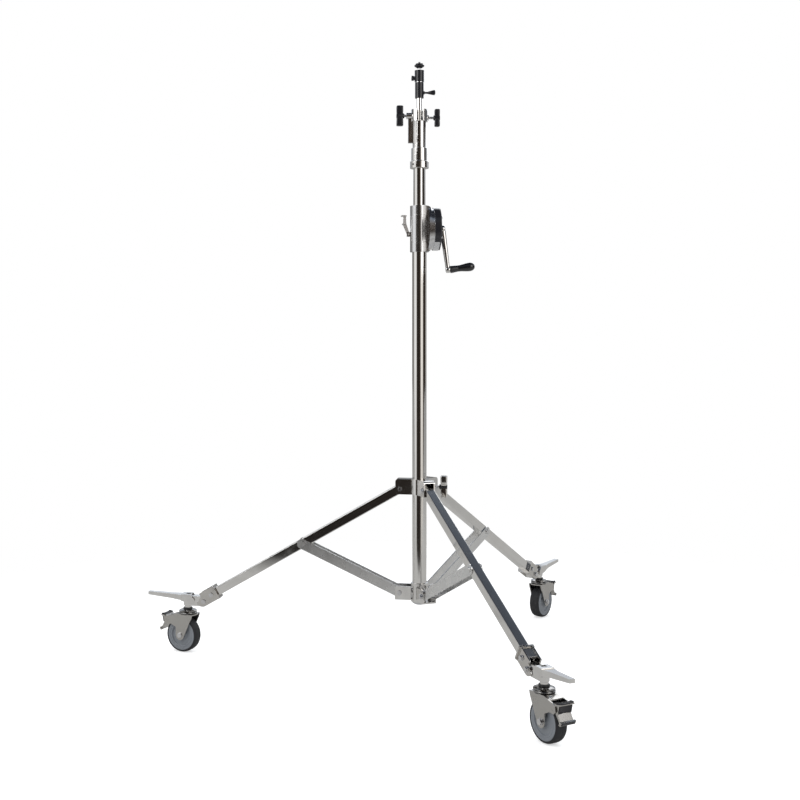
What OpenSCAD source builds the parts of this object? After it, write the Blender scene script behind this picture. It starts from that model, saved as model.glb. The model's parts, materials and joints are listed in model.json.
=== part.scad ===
// Wind-up stand: a cranked three-section mast on a folding base of three legs with braked casters.
// Z is up. The origin lies on the floor under the mast's axis, and the left leg points along -X.

/* [Leg base] */
// Side of the square leg tube
leg_w = 25; // [22:0.5:28]
// Wall of the leg tube
leg_wall = 2; // [1.5:0.1:2.5]
// Distance along a leg from its top pivot to the end fitting
leg_len = 616; // [560:1:670]
// Angle of an opened leg below the horizontal
leg_drop = 30.2; // [28:0.2:33]
// Radius of the legs' top pivots from the mast's axis
hub_pivot_r = 53; // [50:1:58]
// Distance along a leg from its top pivot to its brace pivot
brace_at = 323; // [300:1:340]
// Length of a brace between its pivots
brace_len = 306; // [295:1:320]
// Width of a brace strap
brace_w = 28; // [24:1:30]
// Thickness of a brace strap
brace_t = 3; // [2.5:0.1:4]
// Radius of the braces' lower pivots from the mast's axis
base_pivot_r = 54; // [50:1:58]
// Diameter of every pivot pin in the base
pivot_d = 8; // [6:0.5:9]

/* [Collars] */
// Outer diameter of the leg hub's barrel
hub_d = 52; // [50:1:56]
// Height of the leg hub
hub_h = 43; // [41:1:48]
// Height of the leg pivots above the hub's lower face
hub_pivot_up = 15.5; // [15:0.5:18]
// Outer diameter of the base collar's barrel
base_d = 48; // [46:1:52]
// Height of the base collar's barrel
base_h = 52; // [50:1:60]
// Height of the base collar's arms
base_arm_h = 38; // [36:1:42]
// Thickness of a cheek on either collar
cheek_t = 4; // [3:0.5:5]
// Metal left beyond a pivot on a cheek
cheek_end = 13; // [11:0.5:15]

/* [Casters] */
// Diameter of a wheel over its tyre
wheel_d = 100; // [90:1:110]
// Width of a wheel over its tyre
wheel_w = 32; // [28:1:34]
// Depth of the tyre from its tread to the rim
tyre_t = 6; // [5:0.5:9]
// Horizontal distance from the swivel axis to the wheel's axle
wheel_trail = 14; // [10:1:26]
// Diameter of the axle bolt
axle_d = 10; // [8:0.5:12]
// Thickness of the fork's plates
fork_t = 3; // [2.5:0.1:4]
// Distance from the swivel axis to the back of the fork's crown
fork_back = 27; // [25:1:29]
// Distance from the swivel axis to the front of the fork's crown
fork_front = 26; // [24:1:29]
// Gap between a tyre and the fork's plates
fork_gap = 3; // [2:0.5:4]
// Space over the tyre that holds the kingpin's head
crown_gap = 8; // [7:0.5:10]
// Height of the swivel bearing
bearing_h = 12; // [10:0.5:14]
// Diameter of the swivel bearing
bearing_d = 50; // [44:1:54]
// Diameter of the kingpin
kingpin_d = 12; // [10:0.5:14]
// Turn of the left fork from straight outwards
left_fork_turn = -17; // [-180:1:180]
// Turn of the front fork from straight outwards
front_fork_turn = 8; // [-180:1:180]
// Turn of the rear fork from straight outwards
rear_fork_turn = 2; // [-180:1:180]
// Distance from the swivel axis to the brake pedal's pivot
pedal_at = 56; // [54:1:60]
// Height of the brake pedal's pivot
pedal_up = 90; // [89:1:98]
// Diameter of the brake pedal's pin
pedal_pin_d = 6; // [5:0.5:6]

/* [Leg ends] */
// Distance along a leg from the end fitting's flange to the tilt hinge
tilt_at = 44; // [42:1:58]
// Distance of the tilt hinge below the leg's axis
tilt_below = 6; // [4:0.5:8]
// Horizontal distance from the tilt hinge to the swivel axis
carrier_reach = 50.5; // [49:0.5:66]
// Height of the caster carrier
carrier_h = 28; // [24:1:30]
// Distance from the tilt hinge to the foot lever's hinge
lever_at = 36.5; // [36:0.5:42]
// Height of the foot lever's hinge above the carrier's middle
lever_up = 2; // [1:0.5:3]
// Distance from the end fitting's flange to the bolt through its socket
socket_bolt = 14; // [12:1:15]
// Wall of the end fitting
fitting_wall = 4; // [3:0.5:5]
// Length of the foot lever beyond the swivel axis
lever_out = 118; // [105:1:130]
// Rise of the foot lever's handle above the horizontal
lever_rise = 3; // [0:0.5:10]

/* [Mast] */
// Outer diameter of the column
column_d = 40; // [39:0.5:42]
// Wall of the column
column_wall = 2; // [1.8:0.1:2.2]
// Length of the column
column_len = 1088; // [1000:1:1150]
// Outer diameter of the middle tube
middle_d = 34; // [33:0.2:34.6]
// Wall of the middle tube
middle_wall = 3.2; // [3:0.1:3.4]
// Gap between the lowered middle tube and the column's foot plug
middle_foot = 66; // [40:1:110]
// Length of middle tube that shows above the winch when lowered
middle_show = 105; // [90:1:130]
// Diameter of the lifting cable
cable_d = 2.4; // [2:0.1:2.6]
// Turn of the cable's groove about the mast's axis
cable_turn = -54; // [-90:1:-20]
// Outer diameter of the top tube
top_d = 27; // [26:0.1:27]
// Wall of the top tube
top_wall = 2.5; // [2:0.1:3]
// Gap between the lowered top tube and the column's foot plug
top_foot = 122; // [80:1:180]
// Diameter of the upper barrel of the middle tube's collar
riser_collar_d = 46; // [44:1:50]
// Height of the middle tube's collar
riser_collar_h = 57; // [52:1:62]

/* [Winch] */
// Turn of the winch about the mast's axis
winch_turn = 12; // [-30:1:45]
// Diameter of the winch housing's sleeve
sleeve_d = 52; // [50:1:56]
// Height of the winch housing
housing_h = 129; // [124:1:140]
// Radius of the round drum case
case_r = 60; // [57:1:61]
// Wall of the drum case
case_wall = 5; // [4:0.5:6]
// Distance of the drum case's outer face from the mast's axis
case_x = 52; // [50:1:60]
// Thickness of the drum case's cover
cover_t = 4; // [3:0.5:6]
// Height of the round boss on the cover
cover_boss = 1.5; // [1:0.5:4]
// Radius of the drum's core
drum_r = 20; // [16:1:24]
// Diameter of the crank shaft
shaft_d = 12; // [10:0.5:14]
// Length of the crank arm's hub
crank_hub_len = 11; // [10:0.5:16]
// Distance between the crank shaft and the grip
crank_throw = 115; // [100:1:130]
// Outward lean of the crank arm
crank_lean = 8; // [4:0.5:9]
// Length of the crank's grip
grip_len = 70; // [60:1:80]
// Largest diameter of the crank's grip
grip_d = 25; // [22:0.5:28]
// Distance of the slip lever's pin below the crank shaft
slip_down = 15; // [12:1:22]
// Distance of the slip lever's pin from the housing's sleeve
slip_out = 5; // [4.5:0.5:6]

/* [Receiver and stud] */
// Diameter of the receiver's barrel
receiver_d = 38; // [36:0.5:42]
// Height of the receiver
receiver_h = 107; // [100:1:115]
// Diameter of the receiver's forked cup
cup_d = 47; // [44:0.5:50]
// Depth of the receiver's forked cup
cup_h = 33; // [30:1:36]
// Width of the slot through the forked cup
cup_slot = 17; // [16.5:0.5:19]
// Diameter of the receiver's socket
socket_d = 28.6; // [28:0.1:29]
// Distance of the left clamp screw below the receiver's top
left_clamp_down = 17; // [14:1:20]
// Distance of the right clamp screw below the receiver's top
right_clamp_down = 22; // [18:1:23]
// Diameter of the stud
stud_d = 16; // [15.5:0.1:16.4]
// Length of the bare stud under the adapter
stud_show = 66; // [60:1:75]

/* [Ball head] */
// Diameter of the stud adapter
adapter_d = 24.5; // [23:0.5:27]
// Height of the stud adapter
adapter_h = 43; // [40:1:48]
// Height of the wing screw above the adapter's foot
wing_up = 15; // [10:1:16]
// Length of the wing screw's shank outside the adapter
wing_out = 17; // [14:1:20]
// Diameter of the ball housing
ball_case_d = 26.6; // [25:0.2:28]
// Height of the ball housing
ball_case_h = 31.5; // [29:0.5:34]
// Height of the lock knob above the ball housing's foot
lock_up = 10; // [8:1:12]
// Diameter of the ball
ball_d = 19; // [17:0.5:20]
// Diameter of the camera platform
platform_d = 28; // [26:0.5:32]
// Thickness of the camera platform
platform_h = 12; // [10:0.5:13]
// Diameter of the camera screw
screw_d = 6.35; // [6:0.05:6.5]
// Length of the camera screw above the platform
screw_len = 5; // [4.5:0.5:7]

/* [Knobs] */
// Length of the leg hub's clamp bar
hub_knob_len = 63; // [54:1:70]
// Length of the receiver's left clamp bar
left_knob_len = 57; // [50:1:62]
// Length of the receiver's right clamp bar
right_knob_len = 49; // [44:1:54]
// Distance of the hub's clamp bar from the hub's barrel
hub_knob_out = 33; // [28:1:38]
// Distance of the left clamp bar from the receiver's cup
left_knob_out = 22; // [18:1:26]
// Distance of the right clamp bar from the receiver's cup
right_knob_out = 19; // [15:1:24]
// Thickness of a clamp bar along its screw
knob_t = 19; // [16:0.5:21]
// Width of a clamp bar
knob_w = 17; // [15:0.5:19]
// Diameter of a clamp screw
clamp_d = 8; // [7:0.5:9]

/* [Fits] */
// Radial clearance of pins, shafts and guides
run_fit = 0.05; // [0.02:0.01:0.09]
// Gap between neighbouring moving faces
side_gap = 0.4; // [0.3:0.05:0.6]
// Radial gap between a tyre and its wheel
tyre_fit = 0.15; // [0.05:0.05:0.4]

/* [Hidden] */
$fn = 48;

eps = 0.01;
LEFT = 0;
FRONT = 1;
REAR = 2;
cut = 2;

// Heights in the caster, from the floor up
wheel_r = wheel_d / 2;
crown_z = wheel_d + crown_gap;
bearing_z = crown_z + fork_t;
neck_h = 12;
neck_z = bearing_z + bearing_h;
carrier_z = neck_z + neck_h + carrier_h / 2;

// Places in the leg base
tilt_x = leg_len + tilt_at;
hub_pivot_z = carrier_z + tilt_x * sin(leg_drop) + tilt_below * cos(leg_drop);
tilt_r = hub_pivot_r + tilt_x * cos(leg_drop) - tilt_below * sin(leg_drop);
swivel_r = tilt_r + carrier_reach;
brace_top_r = hub_pivot_r + brace_at * cos(leg_drop);
brace_top_z = hub_pivot_z - brace_at * sin(leg_drop);
brace_run = brace_top_r - base_pivot_r;
brace_rise = sqrt(brace_len * brace_len - brace_run * brace_run);
brace_angle = atan2(brace_rise, brace_run);
base_pivot_z = brace_top_z - brace_rise;
hub_z = hub_pivot_z - hub_pivot_up;

// Places along the mast
plug_lip = 4;
plug_h = 14;
column_z = base_pivot_z - base_arm_h / 2 - 6;
column_top = column_z + column_len;
bush_lip = 4;
housing_z = column_top + bush_lip + 14 - housing_h;
housing_top = housing_z + housing_h;
winch_z = housing_z + housing_h / 2;
collar_z = housing_top + middle_show;
collar_seat = 17;
middle_z = column_z + plug_h + middle_foot;
middle_len = collar_z + collar_seat - middle_z;
collar_top = collar_z + riser_collar_h;
receiver_z = collar_top + side_gap;
receiver_seat = 16;
top_z = column_z + plug_h + top_foot;
top_len = receiver_z + receiver_seat - top_z;
receiver_top = receiver_z + receiver_h;
cup_z = receiver_top - cup_h;
socket_floor = receiver_z + receiver_seat + 3;
adapter_z = cup_z + stud_show;
adapter_seat = 17;
ball_neck = 2.5;
ball_case_z = adapter_z + adapter_h + ball_neck;
ball_z = ball_case_z + ball_case_h - ball_d * 0.42;
platform_z = ball_case_z + ball_case_h + 7;

// Sizes shared by mating pieces
leg_half = leg_w / 2;
hub_cheek_in = leg_half + side_gap;
strap_in = leg_half + side_gap;
strap_out = strap_in + brace_t;
base_cheek_in = strap_out + side_gap;
fitting_half = leg_half + fitting_wall;
socket_len = tilt_at - carrier_h / 2 - 2 * side_gap;
carrier_half = leg_half - side_gap;
lever_half_out = fitting_half;
lever_x = tilt_r + lever_at;
lever_z = carrier_z + lever_up;
root_past = 16;
fork_turns = [left_fork_turn, front_fork_turn, rear_fork_turn];
column_r = column_d / 2;
middle_r = middle_d / 2;
top_r = top_d / 2;
pin_head_h = 4;
pin_head_d = pivot_d + 6;
fork_in = wheel_w / 2 + fork_gap;
fork_out = fork_in + fork_t;
case_inner_r = case_r - case_wall - 6;
case_back = sleeve_d / 2 + 7;
drum_gap = 2;
crank_hub_x = case_x + cover_t + cover_boss + side_gap;
shaft_end = crank_hub_x + crank_hub_len;
crank_lean_x = crank_hub_x + crank_hub_len / 2;
clamp_bore_r = clamp_d / 2 + run_fit;
left_clamp_z = receiver_top - left_clamp_down;
right_clamp_z = receiver_top - right_clamp_down;
wing_z = adapter_z + wing_up;
lock_z = ball_case_z + lock_up;
slip_x = -sleeve_d / 2 - slip_out;
slip_z = winch_z - slip_down;

function leg_azimuth(i) = 180 + 120 * i;

// Radius of the grip at the share t of its length: a collar, a waist, a swell and a round end
function grip_radius(t) =
    t < 0.35 ? grip_d * (0.37 + 0.07 * pow(1 - t / 0.35, 2)) :
    t < 0.8 ? grip_d * (0.37 + 0.13 * pow(sin(90 * (t - 0.35) / 0.45), 2)) :
    grip_d / 2 * sqrt(max(0, 1 - pow((t - 0.8) / 0.2, 2)));

// Plain cylinder along X from x0 to x1
module bar_x(x0, x1, r) {
    translate([x0, 0, 0]) rotate([0, 90, 0]) cylinder(h = x1 - x0, r = r);
}

// Plain cylinder along Y, centred on the XZ plane
module bar_y(half, r) {
    rotate([90, 0, 0]) cylinder(h = 2 * half, r = r, center = true);
}

// Plate in the XZ plane between y0 and y1, from a 2D outline whose Y is up
module plate_xz(y0, y1) {
    translate([0, y1, 0]) rotate([90, 0, 0]) linear_extrude(y1 - y0) children();
}

// The same outline as two plates, mirrored about the XZ plane
module plate_pair(inner, outer) {
    for (side = [0, 1]) mirror([0, side, 0]) plate_xz(inner, outer) children();
}

// Rectangle with rounded corners, centred
module round_rect(w, h, r) {
    square([w - 2 * r, h], center = true);
    square([w, h - 2 * r], center = true);
    for (x = [-1, 1], y = [-1, 1]) translate([x * (w / 2 - r), y * (h / 2 - r)]) circle(r);
}

// Square tube along X from x0 to x1
module tube_x(x0, x1, side, wall, corner) {
    translate([x0, 0, 0]) rotate([90, 0, 90]) linear_extrude(x1 - x0) difference() {
        round_rect(side, side, corner);
        square(side - 2 * wall, center = true);
    }
}

// Bolt along Y with a round head, a hexagon nut and a washer under each
module cross_bolt(half, d) {
    bar_y(half + pin_head_h, d / 2);
    rotate([-90, 0, 0]) translate([0, 0, half]) cylinder(h = pin_head_h - 1, d = d + 5);
    rotate([90, 0, 0]) translate([0, 0, half]) cylinder(h = 1, d = d + 7);
    rotate([90, 0, 0]) translate([0, 0, half + 1]) cylinder(h = pin_head_h, d = d + 5, $fn = 6);
}

// Frame of one leg: X along the leg from its top pivot, Y across it
module leg_frame(i) {
    rotate([0, 0, leg_azimuth(i)]) translate([hub_pivot_r, 0, hub_pivot_z])
        rotate([0, leg_drop, 0]) children();
}

// Frame of one leg's vertical plane: X outwards from the mast, Z up from the floor
module leg_plane(i) {
    rotate([0, 0, leg_azimuth(i)]) children();
}

// Frame of one caster: X along the fork's trail, Z up the swivel axis from the floor
module caster_frame(i) {
    leg_plane(i) translate([swivel_r, 0, 0]) rotate([0, 0, fork_turns[i]]) children();
}

// Frame of the winch and the head: X along the crank shaft
module winch_frame() {
    rotate([0, 0, winch_turn]) children();
}

// Clamp screw along X: its tip at x0, its bar between x1 and x1 + t, with a round hub and waist
module clamp_knob(x0, x1, len, t) {
    tip = 2;
    bar_x(x0 + tip, x1, clamp_d / 2);
    translate([x0, 0, 0]) rotate([0, 90, 0]) cylinder(h = tip, r1 = clamp_d / 2 - 1, r2 = clamp_d / 2);
    bar_x(x1 - 3, x1 + t * 0.6, knob_w / 2);
    translate([x1, 0, 0]) rotate([90, 0, 90]) linear_extrude(t) difference() {
        round_rect(knob_w, len, 4);
        for (y = [-1, 1]) translate([y * (knob_w / 2 + 5), 0]) circle(7.5);
    }
}

module column_tube() color([0.80, 0.80, 0.81]) translate([0, 0, column_z]) difference() {
    cylinder(h = column_len, r = column_r);
    translate([0, 0, -cut]) cylinder(h = column_len + 2 * cut, r = column_r - column_wall);
}

// Outline of a collar arm in the leg's plane: its pivot at the origin, its outer top corner round
module arm_outline(back, below, above, corner) {
    translate([-back, -below]) square([back + cheek_end, below + above - corner]);
    translate([-back, -below]) square([back + cheek_end - corner, below + above]);
    translate([cheek_end - corner, above - corner]) circle(corner);
}

// The three arms of a collar, each with two cheeks and a web that joins them
module collar_arms(pivot_r, inner, back, below, above, web_low, web_high) {
    for (i = [LEFT:REAR]) leg_plane(i) translate([pivot_r, 0, 0]) {
        plate_pair(inner, inner + cheek_t) arm_outline(back, below, above, 8);
        plate_xz(-inner - eps, inner + eps) intersection() {
            arm_outline(back, below, above, 8);
            translate([-back, web_low]) square([back + cheek_end, web_high - web_low]);
        }
    }
}

module pivot_bores(pivot_r, half) {
    for (i = [LEFT:REAR]) leg_plane(i) translate([pivot_r, 0, 0]) bar_y(half, pivot_d / 2);
}

module leg_hub() color([0.74, 0.74, 0.76]) translate([0, 0, hub_pivot_z]) {
    back = hub_pivot_r - column_r - 2;
    above = hub_h - hub_pivot_up;
    difference() {
        union() {
            translate([0, 0, -hub_pivot_up]) cylinder(h = hub_h, d = hub_d);
            collar_arms(hub_pivot_r, hub_cheek_in, back, hub_pivot_up, above, above - 6, above);
            translate([0, 0, hub_h / 2 - hub_pivot_up]) bar_x(column_r + 2, hub_d / 2 + 12, 9);
        }
        translate([0, 0, -hub_pivot_up - cut]) cylinder(h = hub_h + 2 * cut, r = column_r + run_fit);
        pivot_bores(hub_pivot_r, hub_cheek_in + cheek_t + cut);
        translate([0, 0, hub_h / 2 - hub_pivot_up]) bar_x(0, hub_d, clamp_bore_r);
    }
}

module hub_pins() color([0.86, 0.86, 0.88]) translate([0, 0, hub_pivot_z])
    for (i = [LEFT:REAR]) leg_plane(i) translate([hub_pivot_r, 0, 0])
        cross_bolt(hub_cheek_in + cheek_t, pivot_d);

module hub_knob() color([0.70, 0.68, 0.62]) translate([0, 0, hub_z + hub_h / 2])
    clamp_knob(column_r + run_fit, hub_d / 2 + hub_knob_out, hub_knob_len, knob_t);

module base_collar() color([0.78, 0.78, 0.80]) {
    half = base_arm_h / 2;
    back = base_pivot_r - column_r - 2;
    difference() {
        union() {
            translate([0, 0, column_z]) cylinder(h = base_h, d = base_d);
            translate([0, 0, base_pivot_z])
                collar_arms(base_pivot_r, base_cheek_in, back, half, half, -half, -half + 4);
        }
        translate([0, 0, column_z - cut]) cylinder(h = base_h + 2 * cut, r = column_r);
        translate([0, 0, base_pivot_z]) pivot_bores(base_pivot_r, base_cheek_in + cheek_t + cut);
    }
}

module base_pins() color([0.86, 0.86, 0.88]) translate([0, 0, base_pivot_z])
    for (i = [LEFT:REAR]) leg_plane(i) translate([base_pivot_r, 0, 0]) {
        cross_bolt(base_cheek_in + cheek_t, pivot_d);
        bar_y(strap_in - side_gap, pivot_d / 2 + 3);
    }

module base_plug() color([0.62, 0.62, 0.63]) translate([0, 0, column_z]) {
    translate([0, 0, -plug_lip]) cylinder(h = plug_lip, r = column_r);
    translate([0, 0, -plug_lip - 4]) cylinder(h = 4, r1 = column_r - 7, r2 = column_r - 1);
    cylinder(h = plug_h, r = column_r - column_wall);
}

module leg_tube(i) color([0.82, 0.82, 0.84]) leg_frame(i) difference() {
    tube_x(-12, leg_len + socket_len - 7, leg_w, leg_wall, 2);
    bar_y(leg_w, pivot_d / 2 + run_fit);
    translate([brace_at, 0, 0]) bar_y(leg_w, pivot_d / 2 + 2);
    translate([leg_len + socket_bolt, 0, 0]) bar_y(leg_w, pivot_d / 2);
}

// Outline of the end fitting's cheeks in the leg's plane, around the tilt hinge
module fitting_outline() {
    reach = 20;
    translate([leg_len, -reach]) square([tilt_at, 2 * reach]);
    translate([tilt_x, -tilt_below]) circle(reach - tilt_below);
    translate([tilt_x, 0]) intersection() {
        circle(reach);
        translate([-reach, -reach]) square([2 * reach, reach]);
    }
}

module leg_fitting(i) color([0.72, 0.71, 0.69]) leg_frame(i) difference() {
    union() {
        tube_x(leg_len - 2, leg_len + socket_len, 2 * fitting_half, fitting_wall, 3);
        tube_x(leg_len - 5, leg_len, 2 * fitting_half + 8, fitting_wall + 4, 4);
        plate_pair(leg_half, fitting_half) fitting_outline();
    }
    translate([tilt_x, 0, -tilt_below]) bar_y(leg_w, pivot_d / 2);
    translate([leg_len + socket_bolt, 0, 0]) bar_y(leg_w, pivot_d / 2);
}

module leg_bolts(i) color([0.86, 0.86, 0.88]) leg_frame(i) {
    translate([tilt_x, 0, -tilt_below]) cross_bolt(fitting_half, pivot_d);
    translate([leg_len + socket_bolt, 0, 0]) cross_bolt(fitting_half, pivot_d);
    translate([brace_at, 0, 0]) difference() {
        bar_y(leg_half, pivot_d / 2 + 2);
        bar_y(leg_w, pivot_d / 2);
    }
}

// Strap outline from the lower pivot at the origin up to the leg pivot
module strap_outline() {
    difference() {
        union() {
            translate([0, -brace_w / 2]) square([brace_len, brace_w]);
            circle(d = brace_w);
            translate([brace_len, 0]) circle(d = brace_w);
        }
        circle(pivot_d / 2 + run_fit);
        translate([brace_len, 0]) circle(pivot_d / 2);
    }
}

module brace(i) color([0.68, 0.67, 0.66])
    leg_plane(i) translate([base_pivot_r, 0, base_pivot_z]) rotate([0, -brace_angle, 0]) {
        plate_pair(strap_in, strap_out) strap_outline();
        for (side = [0, 1]) mirror([0, side, 0]) translate([brace_len, strap_in, 0]) rotate([-90, 0, 0]) {
            cylinder(h = brace_t, d = pivot_d);
            translate([0, 0, brace_t]) cylinder(h = pin_head_h, d = pin_head_d);
        }
    }

// Caster carrier: a knuckle on the tilt hinge, an arm outwards and the caster's stem
module caster_carrier(i) color([0.80, 0.79, 0.77]) leg_plane(i) {
    half_h = carrier_h / 2;
    difference() {
        union() {
            translate([tilt_r, 0, carrier_z]) bar_y(carrier_half, half_h);
            translate([tilt_r, -carrier_half, carrier_z - half_h])
                cube([carrier_reach, 2 * carrier_half, carrier_h]);
            translate([swivel_r, 0, carrier_z - half_h]) cylinder(h = carrier_h - 4, r = carrier_half);
            translate([swivel_r, 0, neck_z]) cylinder(h = neck_h + eps, r = kingpin_d / 2 + 4);
            translate([swivel_r, 0, bearing_z + bearing_h / 2 + side_gap])
                cylinder(h = bearing_h / 2 - side_gap, r1 = bearing_d / 2 - 2, r2 = bearing_d / 2 - 8);
            translate([swivel_r, 0, crown_z - side_gap]) cylinder(h = neck_z - crown_z + 1, d = kingpin_d);
            translate([swivel_r, 0, crown_z - side_gap - 4]) cylinder(h = 4, d = kingpin_d + 8);
        }
        translate([tilt_r, 0, carrier_z]) bar_y(leg_w, pivot_d / 2 + run_fit);
        translate([lever_x, 0, lever_z]) bar_y(leg_w, pivot_d / 2 + run_fit);
    }
}

// Foot lever: a channel on its own pin over the carrier, which narrows to a rising handle
module foot_lever(i) color([0.86, 0.85, 0.84]) leg_plane(i) translate([lever_x, 0, lever_z]) {
    plate_t = 4;
    under = carrier_h / 2 + 1 - lever_up;
    over = under + plate_t;
    root_len = swivel_r - lever_x + root_past;
    root_from = 2;
    window = 14;
    window_back = 26;
    difference() {
        union() {
            plate_pair(leg_half, lever_half_out) {
                circle(9);
                polygon([[0, -9], [root_len, -2], [root_len, over], [root_from, over], [-6, 6]]);
            }
            translate([root_from, -lever_half_out, under])
                cube([root_len - root_from, 2 * lever_half_out, plate_t]);
        }
        translate([root_len - window_back, -window / 2, 0]) cube([window, window, carrier_h]);
    }
    bar_y(lever_half_out, pivot_d / 2);
    translate([root_len - eps, 0, 0]) rotate([0, -lever_rise, 0]) lever_handle();
}

// Handle of the foot lever: a channel that tapers both ways, open below
module lever_handle() {
    shoulder = 28;
    shoulder_half = 10;
    tip_half = 7;
    handle_h = 15;
    roof = 5;
    side = 2.5;
    tip_h = 9;
    reach = lever_out - root_past;
    difference() {
        intersection() {
            linear_extrude(handle_h) polygon([[0, -lever_half_out], [shoulder, -shoulder_half],
                [reach, -tip_half], [reach, tip_half], [shoulder, shoulder_half], [0, lever_half_out]]);
            plate_xz(-leg_w, leg_w)
                polygon([[0, 0], [reach, handle_h - tip_h], [reach, handle_h], [0, handle_h]]);
        }
        translate([-cut, 0, -cut]) linear_extrude(handle_h + cut - roof) polygon([
            [0, side - lever_half_out], [shoulder, side - shoulder_half], [reach, side - tip_half],
            [reach, tip_half - side], [shoulder, shoulder_half - side], [0, lever_half_out - side]]);
    }
}

// Outline of a fork cheek: from the crown down to the axle, with an ear for the pedal
module fork_outline() {
    axle_end = 14;
    ear_front = pedal_at + 10;
    polygon([[-fork_back, crown_z + fork_t], [-fork_back + 3, crown_z - 8], [wheel_trail - axle_end, wheel_r - 2],
        [wheel_trail + axle_end, wheel_r + 2], [wheel_trail + axle_end, pedal_up - 18],
        [pedal_at - 12, pedal_up - 10], [pedal_at + 4, pedal_up - 11], [ear_front, pedal_up - 4],
        [ear_front - 2, pedal_up + 8], [pedal_at - 2, pedal_up + 13], [fork_front, crown_z + fork_t]]);
    translate([wheel_trail, wheel_r]) circle(axle_end);
}

// Outline of the plate that slopes from the fork's crown down towards the pedal
module crown_slope() {
    end_x = pedal_at - 13;
    ear_x = pedal_at - 2;
    top = crown_z + fork_t;
    end_z = top - (top - pedal_up - 13) * (end_x - fork_front) / (ear_x - fork_front);
    polygon([[fork_front - 1, top - fork_t], [fork_front, top - fork_t], [end_x, end_z - fork_t], [end_x, end_z],
        [fork_front, top], [fork_front - 1, top]]);
}

module caster_fork(i) color([0.76, 0.76, 0.78]) caster_frame(i) difference() {
    crown_r = fork_back + 3;
    union() {
        plate_pair(fork_in, fork_out) fork_outline();
        plate_xz(-fork_in - eps, fork_in + eps) crown_slope();
        translate([0, 0, crown_z]) linear_extrude(fork_t) intersection() {
            union() {
                circle(crown_r);
                translate([0, -fork_out]) square([fork_front, 2 * fork_out]);
            }
            square([2 * crown_r, 2 * fork_out], center = true);
        }
        translate([0, 0, crown_z]) cylinder(h = fork_t + bearing_h / 2, r = bearing_d / 2 - 3);
    }
    translate([0, 0, crown_z - cut]) cylinder(h = bearing_h + fork_t, r = kingpin_d / 2 + run_fit);
    translate([wheel_trail, 0, wheel_r]) bar_y(fork_out + cut, axle_d / 2);
    translate([pedal_at, 0, pedal_up]) bar_y(fork_out + cut, pedal_pin_d / 2);
}

module wheel_axle(i) color([0.84, 0.84, 0.86]) caster_frame(i)
    translate([wheel_trail, 0, wheel_r]) cross_bolt(fork_out, axle_d);

module wheel_core(i) color([0.55, 0.57, 0.60]) caster_frame(i)
    translate([wheel_trail, 0, wheel_r]) rotate([90, 0, 0]) rotate_extrude() {
        rim = wheel_r - tyre_t;
        half = wheel_w / 2;
        bore = axle_d / 2 + run_fit;
        boss_r = bore + 9;
        boss_half = fork_in - side_gap;
        web_half = half - 5;
        polygon([[bore, -boss_half], [boss_r, -boss_half], [boss_r + 2, -web_half], [rim - 14, -web_half],
            [rim - 12, -half + 1.5], [rim - 1, -half + 0.5], [rim, -half + 1.5],
            [rim, half - 1.5], [rim - 1, half - 0.5], [rim - 12, half - 1.5], [rim - 14, web_half],
            [boss_r + 2, web_half], [boss_r, boss_half], [bore, boss_half]]);
    }

module tyre(i) color([0.16, 0.16, 0.18]) caster_frame(i)
    translate([wheel_trail, 0, wheel_r]) rotate([90, 0, 0]) rotate_extrude() {
        half = wheel_w / 2;
        rim = wheel_r - tyre_t;
        lip = 1.5;
        shoulder = 9;
        arc = [for (a = [0:15:90]) [rim + lip + (tyre_t - lip) * sin(a), half - shoulder * (1 - cos(a))]];
        back = [for (k = [len(arc) - 1:-1:0]) [arc[k][0], -arc[k][1]]];
        polygon(concat([[rim + tyre_fit, half]], arc, back, [[rim + tyre_fit, -half]]));
    }

// Brake pedal: a rocker between the fork's ears with an upper tread and a lower lip
module brake_pedal(i) color([0.20, 0.20, 0.22]) caster_frame(i) translate([pedal_at, 0, pedal_up]) {
    tread_len = 13;
    tread_t = 4;
    lip_t = 5;
    lip_h = 9;
    plate_xz(-fork_in + side_gap, fork_in - side_gap) {
        circle(5.5);
        polygon([[-8, 4], [-6, 10], [16, 13], [18, 9], [14, -8], [24, -26], [20, -29], [8, -12], [2, -5]]);
    }
    bar_y(fork_out, pedal_pin_d / 2 - run_fit);
    translate([9.5, -fork_out, 9]) rotate([0, -8, 0]) cube([tread_len, 2 * fork_out, tread_t]);
    translate([20, -fork_out, -30]) rotate([0, 28, 0]) cube([lip_t, 2 * fork_out, lip_h]);
}

module column_bush() color([0.12, 0.12, 0.13]) translate([0, 0, column_top]) difference() {
    union() {
        translate([0, 0, -24]) cylinder(h = 24, r = column_r - column_wall);
        cylinder(h = bush_lip, r = column_r);
    }
    translate([0, 0, -24 - cut]) cylinder(h = 24 + bush_lip + 2 * cut, r = middle_r + run_fit);
}

module middle_tube() color([0.83, 0.82, 0.82]) translate([0, 0, middle_z]) difference() {
    cylinder(h = middle_len, r = middle_r);
    translate([0, 0, -cut]) cylinder(h = middle_len + 2 * cut, r = middle_r - middle_wall);
    rotate([0, 0, cable_turn]) translate([middle_r - cable_d, -cable_d / 2 - 0.2, -cut])
        cube([cable_d + cut, cable_d + 0.4, middle_len + 2 * cut]);
}

module lifting_cable() color([0.35, 0.34, 0.33]) rotate([0, 0, cable_turn])
    translate([middle_r - cable_d / 2, 0, middle_z + 2]) cylinder(h = middle_len - 4, d = cable_d);

module middle_collar() color([0.84, 0.84, 0.86]) translate([0, 0, collar_z]) {
    ring_h = 20;
    difference() {
        union() {
            cylinder(h = riser_collar_h, d = riser_collar_d);
            cylinder(h = ring_h, d = riser_collar_d + 6);
        }
        translate([0, 0, -cut]) cylinder(h = collar_seat + cut, r = middle_r);
        cylinder(h = riser_collar_h + cut, r = top_r + run_fit);
    }
}

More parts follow.
